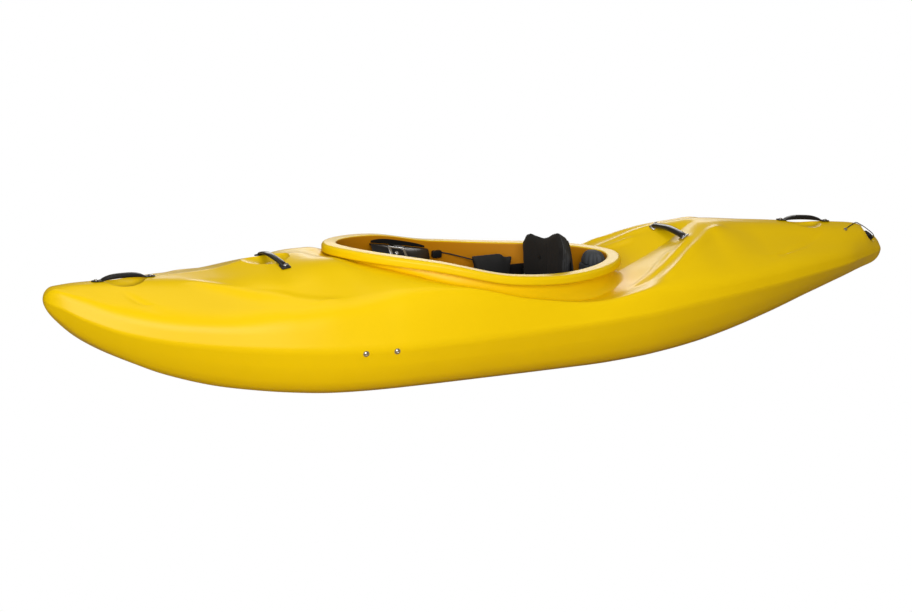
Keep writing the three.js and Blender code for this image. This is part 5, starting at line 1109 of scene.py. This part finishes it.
def on_curve(corners, weights):
    """The point of a curve between corners that count by their weights."""
    return sum((Vector(corner) * weight for corner, weight in zip(corners, weights)), Vector((0, 0)))


def cut_pin_hole(piece):
    pin_hole = add_rod("pin_hole", PIN_HOLE, -0.3, 0.3)
    combine(piece, stand_on(pin_hole, at((PIN_X, 0, PIN_Z), math.pi / 2, "X")), "DIFFERENCE")


pan = prism("seat_trough", trough(0) + trough(PAN_WALL)[::-1], PAN_FROM, PAN_TO, "x")
profile = [(PAN_FROM, 0), (PAN_TO, 0), (PAN_TO, PAN_FRONT)]
corners = ((PAN_TO, PAN_FRONT), (PAN_TO / 2, PAN_FRONT),
           (WING_TO / 2, WING_HEIGHT * 0.6), (WING_TO, WING_HEIGHT))
for step in range(1, 25):
    t = step / 24
    profile.append(on_curve(corners, ((1 - t) ** 3, 3 * t * (1 - t) ** 2, 3 * t * t * (1 - t), t ** 3)))
profile.append((WING_FROM, WING_HEIGHT + 0.001))
corners = ((WING_FROM, WING_HEIGHT), (PAN_FROM, WING_HEIGHT * 0.75), (PAN_FROM, PAN_BACK))
for step in range(1, 11):
    t = step / 10
    profile.append(on_curve(corners, ((1 - t) ** 2, 2 * t * (1 - t), t * t)))
combine(pan, prism("pan_profile", profile, -0.3, 0.3, "y"), "INTERSECT")
cut_pin_hole(pan)
round_edges(pan, 0.0014, 2, 50)
dress(pan, black_plastic, "black_plastic", "seat", "seat_pan")
for side_name, side in SIDES:
    give_finish(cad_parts[f"seat_track_{side_name}"], black_plastic)


# Seat pad
# Thin foam under black cloth, with a waist between the legs.
# It is glued down in the pan and slides with it.
def seat_pad_place(u, v, front):
    x = -0.201 + u * 0.265
    half = PAN_HALF - 0.0545 - 0.008 * math.sin(math.pi * u)
    bottom = PAN_BOTTOM + PAN_WALL + fit_gap + 0.0006
    return (x, half * (2 * v - 1), bottom + 0.004 + 0.015 * crown(u, v) if front else bottom)


seat_pad = slab("seat_cushion", seat_pad_place, 40, 30)
puff(seat_pad, PAD_PUFF)
dress(seat_pad, pad_cover, "pad_fabric", "seat", "seat_pad")

# Hip pads
# Thick blocks of foam under black stretch cloth, higher ahead than behind, and narrower at half height.
# They are held against the inside of the wings by their straps.
HIP_FROM, HIP_TO, HIP_LOW, HIP_HIGH, HIP_STEP = -0.170, -0.016, 0.128, 0.280, 0.013


def hip_place(u, v, front):
    """A point of the port hip pad, as (x, y, z)."""
    waist = 0.010 * math.sin(math.pi * v)
    x_from, x_to = HIP_FROM + waist + 0.003, HIP_TO - waist - 0.010 * v - 0.003
    high = HIP_HIGH - HIP_STEP * (0.5 - 0.5 * math.tanh((u - 0.24) / 0.05)) - 0.0025
    back = PAN_HALF - PAN_WALL - fit_gap - 0.0015
    thickness = PAD_EDGE + 0.001 + 0.0205 * crown(u, v)
    return (x_from + u * (x_to - x_from), back - thickness if front else back,
            HIP_LOW + 0.002 + v * (high - HIP_LOW - 0.002))


def to_side(point, side):
    """A point of the port side, or its mirror image to starboard."""
    return (point[0], side * point[1], point[2])


for side_name, side in SIDES:
    hip_pad = slab(f"hip_cushion_{side_name}",
                   lambda u, v, front: to_side(hip_place(u, v, front), side), 30, 30)
    puff(hip_pad, PAD_PUFF, 0.004)
    dress(hip_pad, pad_cover, "pad_fabric", "seat", f"hip_pad_{side_name}")

# Backrest
# A curved band of black plastic on two pins through the seat wings, with a thick foam pad sewn in cloth.
# Its top edge has two lobes and a notch, one side stands higher, and layers of foam show along the edges,
# their lighter grey partly a painted sheen on the sides and top.
BAND_BOTTOM = 0.198
BAND_HEIGHT = 0.1665
BAND_INSET_TOP, BAND_INSET_LOW = 0.020, 0.033
BAND_EDGE_X = -0.190
BAND_SWEEP = 0.016
BAND_SHELL = 0.005
BAND_PAD, BAND_PAD_EDGE = 0.038, 0.028
BAND_LOBE_Y = 0.09
BAND_NOTCH, BAND_ROLL, BAND_SHOULDER = 0.012, 0.0170, 0.066
BAND_HALF = PAN_HALF - BAND_INSET_TOP
BOSS_RADIUS, BOSS_HALF = 0.010, 0.019
# Lighter grey for the pad's edges: the layers of foam, with a painted sheen.
foam_layers_and_sheen = moulded("foam_layers_and_sheen", (0.012, 0.014, 0.017), (0.026, 0.03, 0.035), 0.6, 1600, 0.4, 60)


def band_place(u, v, behind, drop=0.0):
    """A point of the band, at a distance behind its middle sheet and with its top edge lowered by a drop."""
    across = 2 * u - 1
    y = across * (PAN_HALF - (BAND_INSET_LOW + (BAND_INSET_TOP - BAND_INSET_LOW) * v))
    notch = BAND_NOTCH * math.cos(math.pi * y / (2 * BAND_LOBE_Y)) ** 2 if abs(y) < BAND_LOBE_Y else 0
    past = max(0.0, (abs(y) - BAND_LOBE_Y) / (BAND_HALF - BAND_LOBE_Y))
    roll = BAND_ROLL * math.sin(math.pi / 2 * max(-1.0, min(1.0, y / BAND_LOBE_Y)))
    height = BAND_HEIGHT - notch - BAND_SHOULDER * past ** 2 + roll - drop * (0.75 + past)
    return (BAND_EDGE_X - BAND_SWEEP * (1 - across ** 2) - behind, y, BAND_BOTTOM + v * height)


def band_middle(y):
    """Where the middle sheet of the band stands along the boat, at a distance off the centre line."""
    return BAND_EDGE_X - BAND_SWEEP * (1 - (y / BAND_HALF) ** 2)


band = slab("backrest_shell", lambda u, v, front: band_place(
    u, v, BAND_PAD / 2 + fit_gap + (0.0 if front else BAND_SHELL), 0.04), 60, 24)
boss_end = PAN_HALF - PAN_WALL - 2 * fit_gap
for side in (1, -1):
    boss = add_rod("boss", BOSS_RADIUS, -BOSS_HALF, BOSS_HALF, 40)
    stand_on(boss, at((PIN_X, side * (boss_end - BOSS_HALF), PIN_Z), math.pi / 2, "X"))
    combine(band, boss, "UNION")
cut_pin_hole(band)
round_edges(band, 0.0012, 2, 50)
dress(band, black_plastic, "black_plastic", "backband", "backband_shell")


def band_pad_place(u, v, front):
    thickness = BAND_PAD_EDGE - 0.001 + (BAND_PAD - BAND_PAD_EDGE - 0.003) * crown(u, v)
    back = BAND_PAD / 2 - 0.0012
    return band_place((1.1 + u * 17.8) / 20, 0.006 + v * 0.986, back - thickness if front else back,
                      0.0 if front else 0.028)


band_pad = slab("backrest_pad", band_pad_place, 64, 40)
round_edges(band_pad, 0.006, 4, 50)
puff(band_pad, PAD_PUFF, 0.004)

# What is sewn and glued on the pad: an upright seam beside the notch, the hollow round the button, and
# shallow grooves round the sides between the layers of foam
BUTTON = (-0.020, 0.284)
SEAM_BREADTH, SEAM_DEPTH = 0.0028, 0.0012
HOLLOW_RADIUS, HOLLOW_DEPTH = 0.011, 0.0022
GROOVE_BREADTH, GROOVE_DEPTH = 0.0016, 0.0012
points = np.empty(3 * len(band_pad.data.vertices))
band_pad.data.vertices.foreach_get("co", points)
points = points.reshape(-1, 3)
x, y, z = points.T
front_face = x > band_middle(y) - 0.004
seam = np.exp(-((y - 0.018 - 0.012 * np.sin((z - 0.2) * 18)) / SEAM_BREADTH) ** 2)
seam = seam * np.clip((0.345 - z) / 0.02, 0, 1) * np.clip((z - 0.215) / 0.02, 0, 1)
hollow = np.exp(-np.hypot(y - BUTTON[0], z - BUTTON[1]) ** 2 / HOLLOW_RADIUS ** 2)
points[:, 0] -= front_face * (SEAM_DEPTH * seam + HOLLOW_DEPTH * hollow)
depth_in = points[:, 0] - band_middle(points[:, 1])
for layer in (-0.006, 0.002):
    groove = np.exp(-((depth_in - layer) / GROOVE_BREADTH) ** 2) * GROOVE_DEPTH
    outward_y = np.sign(points[:, 1]) * (np.abs(points[:, 1]) > 0.105)
    points[:, 1] -= outward_y * groove
band_pad.data.vertices.foreach_set("co", points.ravel())
band_pad.data.update()
band_pad.data.materials.append(pad_cover)
band_pad.data.materials.append(foam_layers_and_sheen)
# Faces that turn sideways and upward take the lighter grey: the layers of foam at the edges, and a painted
# sheen on the sides and top.
for polygon in band_pad.data.polygons:
    if abs(polygon.normal.x) < 0.55 and polygon.center.z > 0.205:
        polygon.material_index = 1
dress(band_pad, pad_cover, "pad_fabric", "backband", "backband_pad")

button = add_rod("backrest_button", 0.0055, 0, 0.0022, 28)
step_top(button, (0.0014, 0.0007), (0.0012, -0.0005))
button_x = band_middle(BUTTON[0]) + BAND_PAD / 2 - 0.0010
stand_on(button, at((button_x, *BUTTON), math.pi / 2))
dress(button, black_plastic, "black_plastic", "backband")

# Backrest pins
# Plain stainless pins, turned in one piece with flat heads that stay outside the wings.
# They go through the wings into the bosses of the band, which tips on them.
PIN_RADIUS = 0.004
PIN_HEAD_RADIUS, PIN_HEAD_HEIGHT = 0.008, 0.004
PIN_REACH = 0.024
head_from = PAN_HALF + fit_gap
for side_name, side in SIDES:
    pin = add_rod(f"backrest_pin_{side_name}", PIN_HEAD_RADIUS, head_from, head_from + PIN_HEAD_HEIGHT, 32)
    step_top(pin, (0.0016, 0))
    round_edges(pin, 0.0008)
    join(pin, add_rod("pin_shank", PIN_RADIUS, boss_end - PIN_REACH, head_from + 0.0002))
    stand_on(pin, at((PIN_X, 0, PIN_Z), -side * math.pi / 2, "X"))
    dress(pin, stainless, "stainless_steel", "backband", f"backband_pin_{side_name}")

# Cord cleats and adjuster cords
# A moulded cleat on each wall of the rim, and a braided cord that runs from it past the hip pad to the
# backrest's pin. Pulled through the cleat, it draws the backrest forward.
CLEAT_X, CLEAT_Z = 0.045, 0.272
CLEAT_HALF, CLEAT_DEPTH, CLEAT_HEIGHT = 0.015, 0.014, 0.022
CLEAT_CORNER = 0.006
WALL_STANDOFF = 0.0026
CORD_RADIUS = 0.002
braided_cord = moulded("braided_cord", (0.008, 0.008, 0.009), (0.022, 0.022, 0.023), 0.7, 3000, 0.6, 60)
leash.data.materials.append(braided_cord)
wall_y = float(rim_half_breadth(CLEAT_X)) - WALL_STANDOFF
cord_y = wall_y - CLEAT_DEPTH / 2
pin_side_y = head_from + PIN_HEAD_HEIGHT + 0.0006 + CORD_RADIUS
cleat_outline = rounded_outline([
    (CLEAT_X + ahead * CLEAT_HALF, CLEAT_Z + above * CLEAT_HEIGHT / 2)
    for ahead, above in ((-1, -1), (1, -1), (1, 1), (-1, 1))], CLEAT_CORNER)
for side_name, side in SIDES:
    low = wall_y - CLEAT_DEPTH if side > 0 else -wall_y
    cleat = prism(f"cleat_{side_name}", cleat_outline, low, low + CLEAT_DEPTH, "y")
    round_edges(cleat, 0.0015, 3, 50)
    bore = add_rod("bore", CORD_RADIUS + 0.0009, -0.002, 0.002 + 2 * CLEAT_HALF, 24)
    stand_on(bore, at((CLEAT_X - CLEAT_HALF, side * cord_y, CLEAT_Z), math.pi / 2))
    combine(cleat, bore, "DIFFERENCE")
    dress(cleat, black_plastic, "black_plastic", "hull", f"cord_cleat_{side_name}")
    route = [(CLEAT_X - 0.0003, side * cord_y, CLEAT_Z), (CLEAT_X - 0.030, side * cord_y, CLEAT_Z),
             ((CLEAT_X + PIN_X) / 2, side * (cord_y + pin_side_y) / 2, (CLEAT_Z + PIN_Z) / 2),
             (PIN_X + 0.05, side * pin_side_y, PIN_Z), (PIN_X + 0.025, side * pin_side_y, PIN_Z),
             (PIN_X, side * pin_side_y, PIN_Z)]
    cord = sweep(f"backrest_cord_{side_name}", smooth_path(route, 14), circle(CORD_RADIUS, 12))
    cord.data.materials.append(braided_cord)
    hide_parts(f"adjuster_cord_{side_name}")
    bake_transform(cord)

# Thigh braces
# Hooked plates of black plastic under each side of the rim, for the knees to lift against, padded below.
# Each slides a little in a bent clip, with a stainless bow on top that a button bolt holds.
BRACE_FROM, BRACE_TO = 0.078, 0.300
BRACE_THICKNESS = 0.005
BRACE_DROP = 0.024
BRACE_HOOK = 0.030
BRACE_BREADTH, BRACE_BELLY = 0.026, 0.062
CLIP_FROM, CLIP_TO, CLIP_REACH = 0.44, 0.63, 0.42
CLIP_THICKNESS = 0.0025
THIGH_PAD_LIFT = 0.0008
BOW_LIFT = 0.0016
brace_back_top = float(rim_top(BRACE_FROM)) - BRACE_DROP
brace_front_top = float(rim_top(BRACE_TO)) - BRACE_DROP


def brace_place(u, v, below):
    """A point of the port brace, u of the way forward and v of the way inward, below its top face."""
    x = BRACE_FROM + u * (BRACE_TO - BRACE_FROM)
    depth = BRACE_BREADTH + BRACE_BELLY * math.sin(math.pi * u)
    y = float(rim_half_breadth(x)) - WALL_STANDOFF - v * depth
    past = max(0.0, v - CLIP_REACH) / (1 - CLIP_REACH)
    top = brace_back_top + u * (brace_front_top - brace_back_top)
    return Vector((x, y, top - BRACE_HOOK * past ** 2 - below))


def brace_sheet(name, side, u_from, u_share, v_from, v_share, front_below, back_below, columns, rows):
    """A sheet that follows the brace over a part of it, between two depths below its top face."""
    def place(u, v, front):
        below = front_below if front else back_below
        return to_side(brace_place(u_from + u_share * u, v_from + v_share * v, below), side)
    return slab(name, place, columns, rows)


for side_name, side in SIDES:
    brace_body = "thigh_brace_left" if side > 0 else "thigh_brace_right"
    brace = brace_sheet(f"thigh_hook_{side_name}", side, 0, 1, 0, 1, 0, BRACE_THICKNESS, 48, 20)
    round_edges(brace, 0.0016, 3, 50)
    dress(brace, black_plastic, "black_plastic", brace_body, f"thigh_brace_{side_name}")
    pad_from = BRACE_THICKNESS + THIGH_PAD_LIFT
    thigh_pad = slab(f"thigh_cushion_{side_name}", lambda u, v, front: to_side(brace_place(
        (1.1 + u * 7.8) / 10, 0.02 + 0.96 * v,
        pad_from if front else pad_from + PAD_EDGE + 0.008 * crown(u, v)), side), 36, 20)
    round_edges(thigh_pad, 0.0014, 2, 50)
    smooth_more(thigh_pad)
    dress(thigh_pad, pad_cover, "pad_fabric", brace_body, f"thigh_pad_{side_name}")

    def wall_plate_place(u, v, front):
        foot = brace_place(0.03 + 0.94 * u, 0, -fit_gap - CLIP_THICKNESS / 2)
        top = float(rim_top(foot.x)) - 0.0105 - 0.006 * (2 * u - 1) ** 4
        y = foot.y + WALL_STANDOFF - 0.0011 - (0 if front else CLIP_THICKNESS)
        return (foot.x, side * y, foot.z + v * (top - foot.z))

    clip = slab(f"brace_bracket_{side_name}", lambda u, v, front: to_side(brace_place(
        CLIP_FROM + u * (CLIP_TO - CLIP_FROM), v * CLIP_REACH,
        -fit_gap - (CLIP_THICKNESS if front else 0)), side), 8, 8)
    combine(clip, slab("wall_plate", wall_plate_place, 40, 4), "UNION")
    round_edges(clip, 0.0006, 2, 50)
    dress(clip, black_plastic, "black_plastic", "hull", f"brace_clip_{side_name}")
    bow = brace_sheet(f"brace_bow_{side_name}", side, 0.51, 0.26, 0.58, 0.4,
                      -BOW_LIFT - 0.0025, -BOW_LIFT, 16, 16)
    window = brace_sheet("window", side, 0.55, 0.18, 0.67, 0.6, -0.02, 0.02, 12, 12)
    combine(bow, window, "DIFFERENCE")
    round_edges(bow, 0.0007, 2, 50)
    dress(bow, stainless, "stainless_steel", brace_body)
    knob = add_bolt(f"brace_bolt_{side_name}", 0.002, nut=False)
    foot = to_side(brace_place(0.665, 0.84, -BOW_LIFT), side)
    stand_on(knob, at(foot, side * math.radians(40), "X"))
    dress(knob, stainless, "stainless_steel", brace_body)

# Drain plug
# A screw bush fixed in the floor of the recess, and a scalloped plug with a coin slot, its gasket, and the
# loose ring that the leash holds. Black moulded plastic, with a seal of soft rubber.
BUSH_BORE, BUSH_RADIUS, BUSH_FLANGE = 0.009, 0.0122, 0.019
BUSH_DEPTH, BUSH_FLANGE_THICKNESS = 0.009, 0.002
GASKET_RADIUS, GASKET_THICKNESS = 0.015, 0.0016
SWIVEL_RADIUS, SWIVEL_THICKNESS = 0.0155, 0.0025
CAP_RADIUS, CAP_HEIGHT = 0.0155, 0.0095
CAP_SCALLOP, CAP_SCALLOPS = 0.0009, 10
TAB_REACH, TAB_HALF = 0.0185, 0.0045
SLOT_HALF_LENGTH, SLOT_HALF_BREADTH, SLOT_DEPTH = 0.0108, 0.0015, 0.003
STEM_RADIUS, STEM_DEPTH = 0.0085, 0.014
seal_rubber = moulded("seal_rubber", (0.012, 0.012, 0.012), (0.018, 0.018, 0.018), 0.7, 1500, 0.2, 20)


def turned_ring(name, section, sides=56):
    """A closed ring, its section given as (radius, height) pairs."""
    mesh = bmesh.new()
    rings = []
    for i in range(sides):
        angle = 2 * math.pi * i / sides
        rings.append([mesh.verts.new((r * math.cos(angle), r * math.sin(angle), z)) for r, z in section])
    for i in range(sides):
        bridge(mesh, rings[i], rings[(i + 1) % sides])
    return finished(name, mesh)


bush_top = fit_gap + BUSH_FLANGE_THICKNESS
bush = turned_ring("plug_bush", [
    (BUSH_BORE, -BUSH_DEPTH), (BUSH_RADIUS, -BUSH_DEPTH), (BUSH_RADIUS, fit_gap), (BUSH_FLANGE, fit_gap),
    (BUSH_FLANGE, bush_top - 0.0006), (0.0184, bush_top), (BUSH_BORE, bush_top)])
gasket_from = bush_top + fit_gap
gasket_to = gasket_from + GASKET_THICKNESS
gasket = turned_ring("plug_gasket", [
    (BUSH_BORE, gasket_from), (GASKET_RADIUS - 0.0004, gasket_from), (GASKET_RADIUS, gasket_from + 0.0005),
    (GASKET_RADIUS, gasket_to - 0.0005), (GASKET_RADIUS - 0.0004, gasket_to), (BUSH_BORE, gasket_to)])
swivel_from = gasket_to + fit_gap
swivel_to = swivel_from + SWIVEL_THICKNESS
swivel = turned_ring("plug_swivel", [(BUSH_BORE, swivel_from), (SWIVEL_RADIUS, swivel_from),
                                     (SWIVEL_RADIUS, swivel_to), (BUSH_BORE, swivel_to)])
tab = add_block("tab", (-TAB_REACH, -TAB_HALF, swivel_from),
                (-(BUSH_BORE + SWIVEL_RADIUS) / 2, TAB_HALF, swivel_to))
combine(swivel, tab, "UNION")
round_edges(swivel, 0.0005, 2, 50)
cap_from = swivel_to + fit_gap
cap_to = cap_from + CAP_HEIGHT
outline = []
for step in range(160):
    angle = 2 * math.pi * step / 160
    radius = CAP_RADIUS + CAP_SCALLOP * math.cos(CAP_SCALLOPS * angle)
    outline.append((radius * math.cos(angle), radius * math.sin(angle)))
plug = prism("plug_cap", outline, cap_from, cap_to, "z")
round_edges(plug, 0.0012, 3, 60)
coin_slot = add_block("coin_slot", (-SLOT_HALF_LENGTH, -SLOT_HALF_BREADTH, cap_to - SLOT_DEPTH),
                      (SLOT_HALF_LENGTH, SLOT_HALF_BREADTH, cap_to + SLOT_DEPTH))
combine(plug, coin_slot, "DIFFERENCE")
join(plug, add_rod("stem", STEM_RADIUS, -STEM_DEPTH, cap_from + 0.0002, 40))
for piece, material, slot, body, node in (
        (bush, black_plastic, "black_plastic", "hull", "drain_bush"),
        (gasket, seal_rubber, "seal_rubber", "plug", "drain_gasket"),
        (swivel, black_plastic, "black_plastic", "plug_ring", "drain_swivel_ring"),
        (plug, black_plastic, "black_plastic", "plug", "drain_plug")):
    dress(stand_on(piece, recess_floor), material, slot, body, node)

# Leash screw
# A small pan-head screw of stainless steel in the stern deck.
# The end loop of the leash is tied under its head.
ANCHOR = (-HALF_LENGTH + 0.162, 0.050)
SCREW_HEAD_RADIUS, SCREW_RADIUS = 0.0055, 0.003
screw = add_rod("leash_screw", SCREW_HEAD_RADIUS, 0.0005, 0.0035, 28)
step_top(screw, (0.0013, 0.0009), (0.0016, 0.0003), (0.0006, -0.0008))
join(screw, add_rod("screw_shank", SCREW_RADIUS, -0.005, 0.0007, 16))
stand_on(screw, Matrix.Translation((*ANCHOR, deck_height(*ANCHOR))) @ square_to(deck_normal(*ANCHOR)))
dress(screw, stainless, "stainless_steel", "hull", "leash_anchor_screw")
